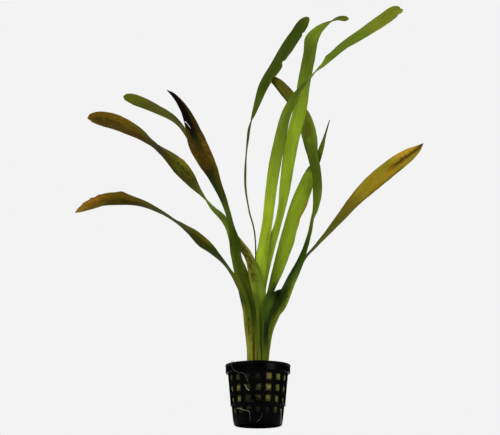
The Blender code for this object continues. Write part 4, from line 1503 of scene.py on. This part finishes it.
def blade_mesh(name, blades):
    """A blade's flat ribbon, closed all round, and the share of its length at each listed point.

    Its points keep where they are on the blade, for the shaper and the finish: "blade" holds metres from
    the midrib, metres from the base and the share of the length, "edge" runs from -1 to 1 across, "lift"
    is the way out of the ribbon, and "cup" is how far a full curl would move it that way.
    """
    listed = BLADES[name]
    habit = HABITS[name]
    seed = blade_seed(name)
    rows = spline(listed, blades.cuts)
    first, second = listed[:2]
    foot = tuple(a - (b - a) * FOOT_RUN / (second[1] - first[1]) for a, b in zip(first, second))
    rows = [(*foot[:3], *first[3:]), *rows]
    places = [sight(*row[:3]) for row in rows]
    line = [place for place, _ in places]
    lengths = [0.0]
    for before, after in zip(line, line[1:]):
        lengths.append(lengths[-1] + (after - before).length)
    total = lengths[-1]
    points, marks, edges, lifts, cups = [], [], [], [], []
    ring_size = 2 * len(SPREAD)
    for index, (_, _, _, seen_width, width) in enumerate(rows):
        place, share = places[index]
        ahead = line[min(index + 1, len(line) - 1)]
        behind = line[max(index - 1, 0)]
        along = (ahead - behind).normalized()
        side = (place - EYE).cross(along).normalized()
        away = along.cross(side)
        facing = max(-1.0, min(1.0, seen_width * share / width))
        across = side * facing + away * habit["lean"] * math.sqrt(1 - facing**2)
        normal = along.cross(across)
        station = max(0.0, (index - 1) / blades.cuts)
        thickness = min(blades.thickness / MM, THICKEST_SHARE * width)
        # Where it faces the viewer the midrib sinks and the edges stay, and where it's edge-on both move.
        level = 0.5 + 0.5 * min(1.0, abs(facing) / EDGE_ON)
        halves = {}
        for way in (-1, 1):
            ragged = 1 + RAGGED_SHARE * noise.noise(
                Vector((lengths[index] / RAGGED_LENGTH, way * 3.1, seed))
            )
            halves[way] = width / 2 * ragged * dent_share(station, way, habit["dents"])
        for face, spread in ((1, SPREAD), (-1, tuple(-u for u in SPREAD))):
            for u in spread:
                x = abs(u) * halves[1 if u > 0 else -1] * (1 if u > 0 else -1)
                swell = thickness / 2 * math.sqrt(1 - u**4)
                points.append(place + across * x + normal * face * swell)
                marks.append((x * MM, lengths[index] * MM, lengths[index] / total))
                edges.append(float(u))
                lifts.append(tuple(normal))
                cups.append((u**2 - level) * width / 2 * MM)
    faces = []
    count = len(rows)
    for ring in range(count - 1):
        for corner in range(ring_size):
            other = (corner + 1) % ring_size
            low, high = ring * ring_size, (ring + 1) * ring_size
            faces.append((low + corner, low + other, high + other, high + corner))
    tip = line[-1] + (line[-1] - line[-2]).normalized() * rows[-1][4] * TIP_SHARE
    for ring, end in ((0, line[0]), (count - 1, tip)):
        pole = len(points)
        start = ring * ring_size
        points.append(end)
        marks.append((0.0, lengths[ring] * MM, lengths[ring] / total))
        edges.append(0.0)
        lifts.append(lifts[start])
        cups.append(0.0)
        faces.extend(
            (start + corner, start + (corner + 1) % ring_size, pole) for corner in range(ring_size)
        )
    mesh = closed_mesh("blade_" + name, points, faces)
    set_attribute(mesh, "blade", "FLOAT_VECTOR", marks)
    set_attribute(mesh, "edge", "FLOAT", edges)
    set_attribute(mesh, "lift", "FLOAT_VECTOR", lifts)
    set_attribute(mesh, "cup", "FLOAT", cups)
    shares = [lengths[1 + station * blades.cuts] / total for station in range(len(listed))]
    return mesh, shares


def blade_shaper():
    """Shapes a flat ribbon: cupped across, grooved along its midrib, and waved along its edges."""
    inputs = {
        "Cup": "Float",
        "Midrib": "Float",
        "Ripple height": "Float",
        "Ripple length": "Float",
        "Seed": "Float",
        "Material": "Material",
    }
    tree, given = new_shaper("Blade surface", inputs)
    kinds = {"blade": "FLOAT_VECTOR", "edge": "FLOAT", "lift": "FLOAT_VECTOR", "cup": "FLOAT"}
    stored = {
        label: add(tree, "GeometryNodeInputNamedAttribute", {"Name": label}, data_type=kind)
        for label, kind in kinds.items()
    }
    blade = add(tree, "ShaderNodeSeparateXYZ", {0: stored["blade"]}).outputs
    cup = add(tree, "ShaderNodeMath", {0: stored["cup"], 1: given["Cup"]}, operation="MULTIPLY")
    off = add(tree, "ShaderNodeMath", {0: blade["X"]}, operation="ABSOLUTE")
    groove = add(
        tree,
        "ShaderNodeMapRange",
        {0: off, 1: 0.0, 2: GROOVE_HALF_WIDTH * MM, 3: given["Midrib"], 4: 0.0},
        interpolation_type="SMOOTHSTEP",
    )
    wave_x = add(tree, "ShaderNodeMath", {0: stored["edge"], 1: 0.8}, operation="MULTIPLY")
    wave_y = add(tree, "ShaderNodeMath", {0: blade["Y"], 1: given["Ripple length"]}, operation="DIVIDE")
    wave_at = add(tree, "ShaderNodeCombineXYZ", {"X": wave_x, "Y": wave_y, "Z": given["Seed"]})
    wave = add(tree, "ShaderNodeTexNoise", {"Vector": wave_at, "Scale": 1.0, "Detail": 1.0})
    swing = add(tree, "ShaderNodeMath", {0: wave, 1: 2.0, 2: -1.0}, operation="MULTIPLY_ADD")
    square = add(tree, "ShaderNodeMath", {0: stored["edge"], 1: stored["edge"]}, operation="MULTIPLY")
    calm = add(
        tree,
        "ShaderNodeMapRange",
        {0: blade["Z"], 1: RIPPLES_START, 2: RIPPLES_FULL},
        interpolation_type="SMOOTHSTEP",
    )
    lively = add(tree, "ShaderNodeMath", {0: square, 1: calm}, operation="MULTIPLY")
    height = add(tree, "ShaderNodeMath", {0: lively, 1: given["Ripple height"]}, operation="MULTIPLY")
    ripple = add(tree, "ShaderNodeMath", {0: swing, 1: height}, operation="MULTIPLY")
    shape = add(tree, "ShaderNodeMath", {0: cup, 1: groove}, operation="ADD")
    whole = add(tree, "ShaderNodeMath", {0: shape, 1: ripple}, operation="ADD")
    shift = add(tree, "ShaderNodeVectorMath", {0: stored["lift"], 3: whole}, operation="SCALE")
    moved = add(tree, "GeometryNodeSetPosition", {"Geometry": given["Geometry"], "Offset": shift})
    end_shaper(tree, moved, given["Material"])
    return tree


def spread_of(stops, shares):
    """Turns stops given at listed points into shares of the blade's length."""
    placed = []
    for station, tissue in stops:
        low = min(int(station), len(shares) - 2)
        share = shares[low] + (shares[low + 1] - shares[low]) * (station - low)
        placed.append((share, tissue))
    return placed


def painted_tear(tree, colour, edge, share, scar, shares, tissues):
    """Paints a thin torn line on a blade's colour, in the pale backdrop's colour as it shows through the
    tear: it sets out straight across and bends to run along.
    """
    low, high, start, end = scar
    (first, _), (last, _) = spread_of(((start, ""), (end, "")), shares)
    way = add(tree, "ShaderNodeMapRange", {0: edge, 1: low, 2: high})
    bend = add(tree, "ShaderNodeMath", {0: way, 1: 2.2}, operation="POWER")
    line = add(tree, "ShaderNodeMath", {0: bend, 1: last - first, 2: first}, operation="MULTIPLY_ADD")
    off = add(tree, "ShaderNodeMath", {0: share, 1: line}, operation="SUBTRACT")
    far = add(tree, "ShaderNodeMath", {0: off}, operation="ABSOLUTE")
    near = add(tree, "ShaderNodeMapRange", {0: far, 1: SCAR_CORE, 2: SCAR_REACH, 3: 1.0, 4: 0.0})
    inside = add(
        tree, "ShaderNodeMath", {0: edge, 1: (low + high) / 2, 2: (high - low) / 2}, operation="COMPARE"
    )
    mask = add(tree, "ShaderNodeMath", {0: near, 1: inside}, operation="MULTIPLY")
    torn = {0: mask, 6: colour, 7: tuple(tissues.backdrop_through_tear)}
    return add(tree, "ShaderNodeMix", torn, data_type="RGBA").outputs[2]


def blade_finish(name, shares, blades, tissues):
    """Vallisneria blade, grown: a thin waxy skin over lengthwise veins, with the marks of its age, and on
    some blades painted shade and a torn line painted in the pale backdrop's colour.
    """
    habit = HABITS[name]
    material, shader = new_finish("vallisneria blade, grown, " + name.replace("_", " "))
    tree = material.node_tree
    seed = blade_seed(name)
    blade = add(tree, "ShaderNodeAttribute", attribute_name="blade").outputs["Vector"]
    edge = add(tree, "ShaderNodeAttribute", attribute_name="edge").outputs["Fac"]
    parts = add(tree, "ShaderNodeSeparateXYZ", {0: blade}).outputs

    # Cells run lengthwise, so the patterns are stretched along the blade, all but the one that frays marks.
    slow_at = add(tree, "ShaderNodeMapping", {"Vector": blade, "Scale": (1.0, 0.3, 0.0)})
    slow = add(
        tree,
        "ShaderNodeTexNoise",
        {"Vector": slow_at, "W": seed, "Scale": 1 / (4 * MM), "Detail": 4.0},
        noise_dimensions="4D",
    )
    streak_at = add(tree, "ShaderNodeMapping", {"Vector": blade, "Scale": (1.0, 0.035, 0.0)})
    streak = add(
        tree,
        "ShaderNodeTexNoise",
        {"Vector": streak_at, "W": seed, "Scale": 1 / (0.8 * MM)},
        noise_dimensions="4D",
    )
    torn = add(
        tree,
        "ShaderNodeTexNoise",
        {"Vector": blade, "W": seed + 2, "Scale": 1 / (3.2 * MM), "Detail": 4.0},
        noise_dimensions="4D",
    )
    patch_at = add(tree, "ShaderNodeMapping", {"Vector": blade, "Scale": (1.0, 0.4, 0.0)})
    patch = add(
        tree,
        "ShaderNodeTexNoise",
        {"Vector": patch_at, "W": seed + 4, "Scale": 1 / (1.7 * MM), "Detail": 4.0},
        noise_dimensions="4D",
    )
    veins = add(
        tree,
        "ShaderNodeTexWave",
        {"Vector": slow_at, "Scale": WAVE_LENGTH / blades.vein_pitch, "Distortion": 0.4, "Detail": 1.0},
        bands_direction="X",
        wave_profile="SIN",
    )

    wander = add(tree, "ShaderNodeMath", {0: slow, 1: 0.05, 2: -0.025}, operation="MULTIPLY_ADD")
    share = add(tree, "ShaderNodeMath", {0: parts["Z"], 1: wander}, operation="ADD")
    stops = spread_of(habit["tissues"], shares)
    ramp = add(tree, "ShaderNodeValToRGB", {"Fac": share})
    while len(ramp.color_ramp.elements) < len(stops):
        ramp.color_ramp.elements.new(0.5)
    for element, (position, tissue) in zip(ramp.color_ramp.elements, stops):
        element.position = position
        element.color = getattr(tissues, tissue)
    colour = ramp.outputs["Color"]

    # Marks end in ragged tongues that follow the veins.
    ragged = add(tree, "ShaderNodeMath", {0: torn, 1: 0.9, 2: -0.45}, operation="MULTIPLY_ADD")
    ragged_edge = add(tree, "ShaderNodeMath", {0: edge, 1: ragged}, operation="ADD")
    tongue = add(tree, "ShaderNodeMath", {0: streak, 1: 0.06, 2: -0.03}, operation="MULTIPLY_ADD")
    ragged_share = add(tree, "ShaderNodeMath", {0: share, 1: tongue}, operation="ADD")
    for tissue, start, end, low, high, strength, cover in habit["marks"]:
        (start, _), (end, _) = spread_of(((start, tissue), (end, tissue)), shares)
        mask = strength
        for value, first, last, soft in (
            (ragged_share, start, end, MARK_SOFTNESS_ALONG),
            (ragged_edge, low, high, MARK_SOFTNESS_ACROSS),
        ):
            rise = add(
                tree,
                "ShaderNodeMapRange",
                {0: value, 1: first - soft, 2: first + soft},
                interpolation_type="SMOOTHSTEP",
            )
            fall = add(
                tree,
                "ShaderNodeMapRange",
                {0: value, 1: last - soft, 2: last + soft, 3: 1.0, 4: 0.0},
                interpolation_type="SMOOTHSTEP",
            )
            band = add(tree, "ShaderNodeMath", {0: rise, 1: fall}, operation="MULTIPLY")
            mask = add(tree, "ShaderNodeMath", {0: band, 1: mask}, operation="MULTIPLY")
        if cover < 1:
            level = 0.5 + (0.5 - cover) * BLOTCH_RANGE
            blotch = add(
                tree,
                "ShaderNodeMapRange",
                {0: patch, 1: level - BLOTCH_SOFTNESS, 2: level + BLOTCH_SOFTNESS},
            )
            mask = add(tree, "ShaderNodeMath", {0: blotch, 1: mask}, operation="MULTIPLY")
        colour = add(
            tree,
            "ShaderNodeMix",
            {0: mask, 6: colour, 7: tuple(getattr(tissues, tissue))},
            data_type="RGBA",
        ).outputs[2]

    # Lighter and darker cells, and pale veins.
    light = 1.0
    for pattern, amount in ((slow, 0.6), (streak, 0.8), (veins.outputs["Fac"], 0.2)):
        step = add(
            tree, "ShaderNodeMath", {0: pattern, 1: amount, 2: 1 - amount / 2}, operation="MULTIPLY_ADD"
        )
        light = add(tree, "ShaderNodeMath", {0: step, 1: light}, operation="MULTIPLY")
    shaded = add(tree, "ShaderNodeVectorMath", {0: colour, 3: light}, operation="SCALE")
    # Painted light: the pale backdrop, seen through a tear, painted as a line on the blade.
    if "scar" in habit:
        shaded = painted_tear(tree, shaded, edge, parts["Z"], habit["scar"], shares, tissues)
    relief = add(
        tree, "ShaderNodeMath", {0: streak, 1: 0.8, 2: veins.outputs["Fac"]}, operation="MULTIPLY_ADD"
    )
    bump = add(tree, "ShaderNodeBump", {"Strength": 0.5, "Distance": 0.1 * MM, "Height": relief})
    wax = add(tree, "ShaderNodeMapRange", {0: slow, 1: 0.3, 2: 0.7, 3: 0.42, 4: 0.58})
    feed(tree, shader, {"Base Color": shaded, "Roughness": wax, "Normal": bump})
    feed(tree, shader, {"IOR": 1.42, "Specular IOR Level": 0.06})
    return material


class VALLISNERIA_OT_blades(bpy.types.Operator):
    """Build the ten ribbon blades"""

    bl_idname = "vallisneria.blades"
    bl_label = "Blades"

    def execute(self, context):
        blades = context.scene.vallisneria_blades
        tissues = context.scene.vallisneria_tissues
        shaper = blade_shaper()
        for place, name in enumerate(BLADES):
            mesh, shares = blade_mesh(name, blades)
            values = {
                "Cup": blades.cup,
                "Midrib": blades.rib,
                "Ripple height": blades.ripple_height,
                "Ripple length": blades.ripple_length,
                "Seed": place * RIPPLE_STEP,
                "Material": blade_finish(name, shares, blades, tissues),
            }
            piece = bake("blade_" + name, mesh, shaper, values)
            for spent in ("lift", "cup"):
                piece.data.attributes.remove(piece.data.attributes[spent])
            install(piece, HABITS[name]["slot"], "leaf_" + name)
        return {"FINISHED"}


# Roots


def root_shaper():
    """Grows a round strand along a line: it strays a little, and thins to its tip."""
    inputs = {
        "Radius": "Float",
        "Taper": "Float",
        "Wander": "Float",
        "Seed": "Float",
        "Material": "Material",
    }
    tree, given = new_shaper("Rootlet", inputs)
    curve = add(tree, "GeometryNodeMeshToCurve", {"Mesh": given["Geometry"]})
    even = add(tree, "GeometryNodeResampleCurve", {"Curve": curve, "Length": ROOT_STEP * MM}, mode="LENGTH")
    progress = add(tree, "GeometryNodeSplineParameter")
    kept = add(
        tree,
        "GeometryNodeStoreNamedAttribute",
        {"Geometry": even, "Name": "along", "Value": progress.outputs["Factor"]},
        data_type="FLOAT",
        domain="POINT",
    )
    stray = add(
        tree,
        "ShaderNodeTexNoise",
        {"Scale": 1 / (2.5 * MM), "W": given["Seed"], "Detail": 1.0},
        noise_dimensions="4D",
    )
    centred = add(
        tree, "ShaderNodeVectorMath", {0: stray.outputs["Color"], 1: (0.5, 0.5, 0.5)}, operation="SUBTRACT"
    )
    twice = add(tree, "ShaderNodeMath", {0: given["Wander"], 1: 2.0}, operation="MULTIPLY")
    offset = add(tree, "ShaderNodeVectorMath", {0: centred, 3: twice}, operation="SCALE")
    moved = add(tree, "GeometryNodeSetPosition", {"Geometry": kept, "Offset": offset})
    thin = add(
        tree, "ShaderNodeMath", {0: progress.outputs["Factor"], 1: given["Taper"]}, operation="MULTIPLY"
    )
    left = add(tree, "ShaderNodeMath", {0: 1.0, 1: thin}, operation="SUBTRACT")
    knots = add(tree, "ShaderNodeMath", {0: stray, 1: 0.5, 2: 0.75}, operation="MULTIPLY_ADD")
    size = add(tree, "ShaderNodeMath", {0: left, 1: knots}, operation="MULTIPLY")
    ring = add(tree, "GeometryNodeCurvePrimitiveCircle", {"Resolution": 10, "Radius": given["Radius"]})
    strand = add(
        tree,
        "GeometryNodeCurveToMesh",
        {"Curve": moved, "Profile Curve": ring, "Scale": size, "Fill Caps": True},
    )
    end_shaper(tree, strand, given["Material"])
    return tree


def root_ages(name, count):
    """How brown a root has gone at each of its points."""
    start, middle, tip = ROOT_AGES[name]
    ages = []
    for index in range(count):
        way = 2 * index / (count - 1)
        if way < 1:
            ages.append(start + (middle - start) * way)
        else:
            ages.append(middle + (tip - middle) * (way - 1))
    return ages


def root_finish(roots):
    """Living root, grown: pale and a little shiny, stained where it lay on the wool, brown when old."""
    material, shader = new_finish("living root, grown")
    tree = material.node_tree
    place = add(tree, "ShaderNodeTexCoord").outputs["Object"]
    along = add(tree, "ShaderNodeAttribute", attribute_name="along").outputs["Fac"]
    cloud = add(tree, "ShaderNodeTexNoise", {"Vector": place, "Scale": 1 / (1.8 * MM), "Detail": 3.0})
    start = add(tree, "ShaderNodeMapRange", {0: along, 1: 0.0, 2: 0.35, 3: 0.45, 4: 0.0})
    stain = add(
        tree, "ShaderNodeMath", {0: cloud, 1: 0.5, 2: start}, operation="MULTIPLY_ADD", use_clamp=True
    )
    colour = add(
        tree, "ShaderNodeMix", {0: stain, 6: tuple(roots.pale), 7: tuple(roots.stained)}, data_type="RGBA"
    )
    age = add(tree, "ShaderNodeAttribute", attribute_name="age").outputs["Fac"]
    aged = add(tree, "ShaderNodeMix", {0: age, 6: colour.outputs[2], 7: tuple(roots.old)}, data_type="RGBA")
    skin = add(tree, "ShaderNodeBump", {"Strength": 0.4, "Distance": 0.08 * MM, "Height": cloud})
    feed(tree, shader, {"Base Color": aged.outputs[2], "Normal": skin, "Roughness": 0.45})
    return material


class VALLISNERIA_OT_roots(bpy.types.Operator):
    """Grow the roots that hang out of the pot"""

    bl_idname = "vallisneria.roots"
    bl_label = "Roots"

    def execute(self, context):
        roots = context.scene.vallisneria_roots
        shaper = root_shaper()
        finish = root_finish(roots)
        for place, (name, rows) in enumerate(ROOTS.items()):
            line = [around(*row) * MM for row in spline(rows, ROOT_CUTS)]
            mesh = bpy.data.meshes.new("rootlet_" + name)
            mesh.from_pydata(line, [(index, index + 1) for index in range(len(line) - 1)], [])
            set_attribute(mesh, "age", "FLOAT", root_ages(name, len(line)))
            values = {
                "Radius": roots.radius,
                "Taper": roots.taper,
                "Wander": roots.wander,
                "Seed": place * STRAY_STEP,
                "Material": finish,
            }
            piece = bake("rootlet_" + name, mesh, shaper, values)
            install(piece, "root_tissue", "root_" + name)
        return {"FINISHED"}


# Stage


def floor_finish(stage):
    """Plain painted board, rolled: pale and matt, lost in the backdrop's own light further out.

    It is clear from below, because the camera's place is lower than the pot's foot.
    """
    material, shader = new_finish("painted board, rolled")
    tree = material.node_tree
    place = add(tree, "ShaderNodeTexCoord").outputs["Object"]
    nap = add(tree, "ShaderNodeTexNoise", {"Vector": place, "Scale": 1 / (2 * MM), "Detail": 3.0})
    tone = add(
        tree, "ShaderNodeMix", {0: nap, 6: linear("#DCDCDA"), 7: linear("#E2E2E0")}, data_type="RGBA"
    )
    feed(tree, shader, {"Base Color": tone.outputs[2], "Roughness": 0.9, "Specular IOR Level": 0.1})
    away = add(tree, "ShaderNodeVectorMath", {0: place}, operation="LENGTH")
    fade = add(
        tree,
        "ShaderNodeMapRange",
        {0: away.outputs["Value"], 1: 0.25, 2: 1.6},
        interpolation_type="SMOOTHSTEP",
    )
    glow = add(tree, "ShaderNodeEmission", {"Color": tuple(stage.backdrop)})
    board = add(tree, "ShaderNodeMixShader", {0: fade, 1: shader, 2: glow})
    side = add(tree, "ShaderNodeNewGeometry")
    clear = add(tree, "ShaderNodeBsdfTransparent")
    whole = add(tree, "ShaderNodeMixShader", {0: side.outputs["Backfacing"], 1: board, 2: clear})
    feed(tree, tree.nodes["Material Output"], {"Surface": whole})
    return material


def set_world(stage):
    """A pale room seen flat, which lights the plant evenly and leaves black plastic black."""
    world = bpy.data.worlds.new("pale room")
    world.use_nodes = True
    tree = world.node_tree
    tree.nodes.clear()
    path = add(tree, "ShaderNodeLightPath")
    seen = add(tree, "ShaderNodeBackground", {"Color": tuple(stage.backdrop), "Strength": 1.0})
    felt = add(tree, "ShaderNodeBackground", {"Color": tuple(stage.backdrop), "Strength": stage.room_light})
    mirrored = add(tree, "ShaderNodeBackground", {"Color": tuple(stage.backdrop), "Strength": 0.02})
    matt = add(tree, "ShaderNodeMixShader", {0: path.outputs["Is Glossy Ray"], 1: felt, 2: mirrored})
    room = add(tree, "ShaderNodeMixShader", {0: path.outputs["Is Camera Ray"], 1: matt, 2: seen})
    add(tree, "ShaderNodeOutputWorld", {"Surface": room})
    bpy.context.scene.world = world


def add_light(name, place, size, power):
    """A square soft light that looks at the middle of the plant and isn't seen itself."""
    data = bpy.data.lights.new(name, "AREA")
    data.shape = "SQUARE"
    data.size = size
    data.energy = power
    lamp = new_piece(name, data)
    lamp.location = place
    lamp.rotation_euler = (LIGHT_AIM - Vector(place)).to_track_quat("-Z", "Y").to_euler()
    lamp.visible_camera = False


class VALLISNERIA_OT_stage(bpy.types.Operator):
    """Set the floor, the room, the lights and the camera"""

    bl_idname = "vallisneria.stage"
    bl_label = "Stage"

    def execute(self, context):
        scene = context.scene
        stage = scene.vallisneria_stage
        sides = range(FLOOR_SIDES)
        rim = [around(360.0 * side / FLOOR_SIDES, FLOOR_RADIUS, FLOOR_LEVEL) for side in sides]
        faces = [(0, 1 + side, 1 + (side + 1) % FLOOR_SIDES) for side in sides]
        mesh = bpy.data.meshes.new("floor")
        mesh.from_pydata([(0, 0, FLOOR_LEVEL), *rim], [], faces)
        if mesh.polygons[0].normal.z < 0:
            mesh.flip_normals()
        mesh.materials.append(floor_finish(stage))
        floor = new_piece("floor", mesh)
        set_world(stage)
        add_light("key light", (-0.9, -1.2, 1.0), 0.9, stage.key_power)
        add_light("fill light", (1.1, -1.0, 0.6), 0.8, stage.fill_power)
        add_light("top light", (0.1, 0.1, 1.7), 1.0, stage.top_power)
        add_light("back light", (0.5, 1.4, 0.9), 0.9, stage.back_power)
        data = bpy.data.cameras.new("camera")
        data.sensor_width = SENSOR_WIDTH
        distance = (-EYE.y * math.cos(EYE_TILT) - EYE.z * math.sin(EYE_TILT)) * MM
        data.lens = data.sensor_width * distance / (PICTURE_WIDTH * MM)
        data.clip_start = 0.01
        data.clip_end = 100.0
        camera = new_piece("camera", data)
        camera.location = EYE * MM
        camera.rotation_euler = (math.pi / 2 + EYE_TILT, 0.0, 0.0)
        scene.camera = camera
        scene.view_settings.view_transform = "Standard"
        return {"FINISHED"}


class VALLISNERIA_PT_builder(bpy.types.Panel):
    """Lists the plant's pieces and their settings"""

    bl_idname = "VALLISNERIA_PT_builder"
    bl_label = "Potted Vallisneria"
    bl_space_type = "VIEW_3D"
    bl_region_type = "UI"
    bl_category = "Vallisneria"

    def draw(self, context):
        for operator, groups in STEPS:
            box = self.layout.box()
            for group in groups:
                settings = getattr(context.scene, group)
                for name in settings.__annotations__:
                    box.prop(settings, name)
            box.operator(operator.bl_idname)


STEPS = (
    (VALLISNERIA_OT_stage, ("vallisneria_stage",)),
    (VALLISNERIA_OT_net_pot, ("vallisneria_pot",)),
    (VALLISNERIA_OT_wool, ("vallisneria_wool",)),
    (VALLISNERIA_OT_crown, ()),
    (VALLISNERIA_OT_blades, ("vallisneria_blades", "vallisneria_tissues")),
    (VALLISNERIA_OT_roots, ("vallisneria_roots",)),
)
SETTINGS = {
    "vallisneria_stage": StageSettings,
    "vallisneria_pot": PotSettings,
    "vallisneria_wool": WoolSettings,
    "vallisneria_blades": BladeSettings,
    "vallisneria_tissues": TissueSettings,
    "vallisneria_roots": RootSettings,
}


def register():
    """Registers the settings, the operators and the panel."""
    for name, group in SETTINGS.items():
        bpy.utils.register_class(group)
        setattr(bpy.types.Scene, name, bpy.props.PointerProperty(type=group))
    for operator, _ in STEPS:
        bpy.utils.register_class(operator)
    bpy.utils.register_class(VALLISNERIA_PT_builder)


def unregister():
    """Takes away what register adds, in reverse."""
    bpy.utils.unregister_class(VALLISNERIA_PT_builder)
    for operator, _ in reversed(STEPS):
        bpy.utils.unregister_class(operator)
    for name, group in reversed(SETTINGS.items()):
        delattr(bpy.types.Scene, name)
        bpy.utils.unregister_class(group)


def main():
    """Builds the whole plant on its frame."""
    register()
    for operator, _ in STEPS:
        group, name = operator.bl_idname.split(".")
        getattr(getattr(bpy.ops, group), name)()


if __name__ == "__main__":
    main()
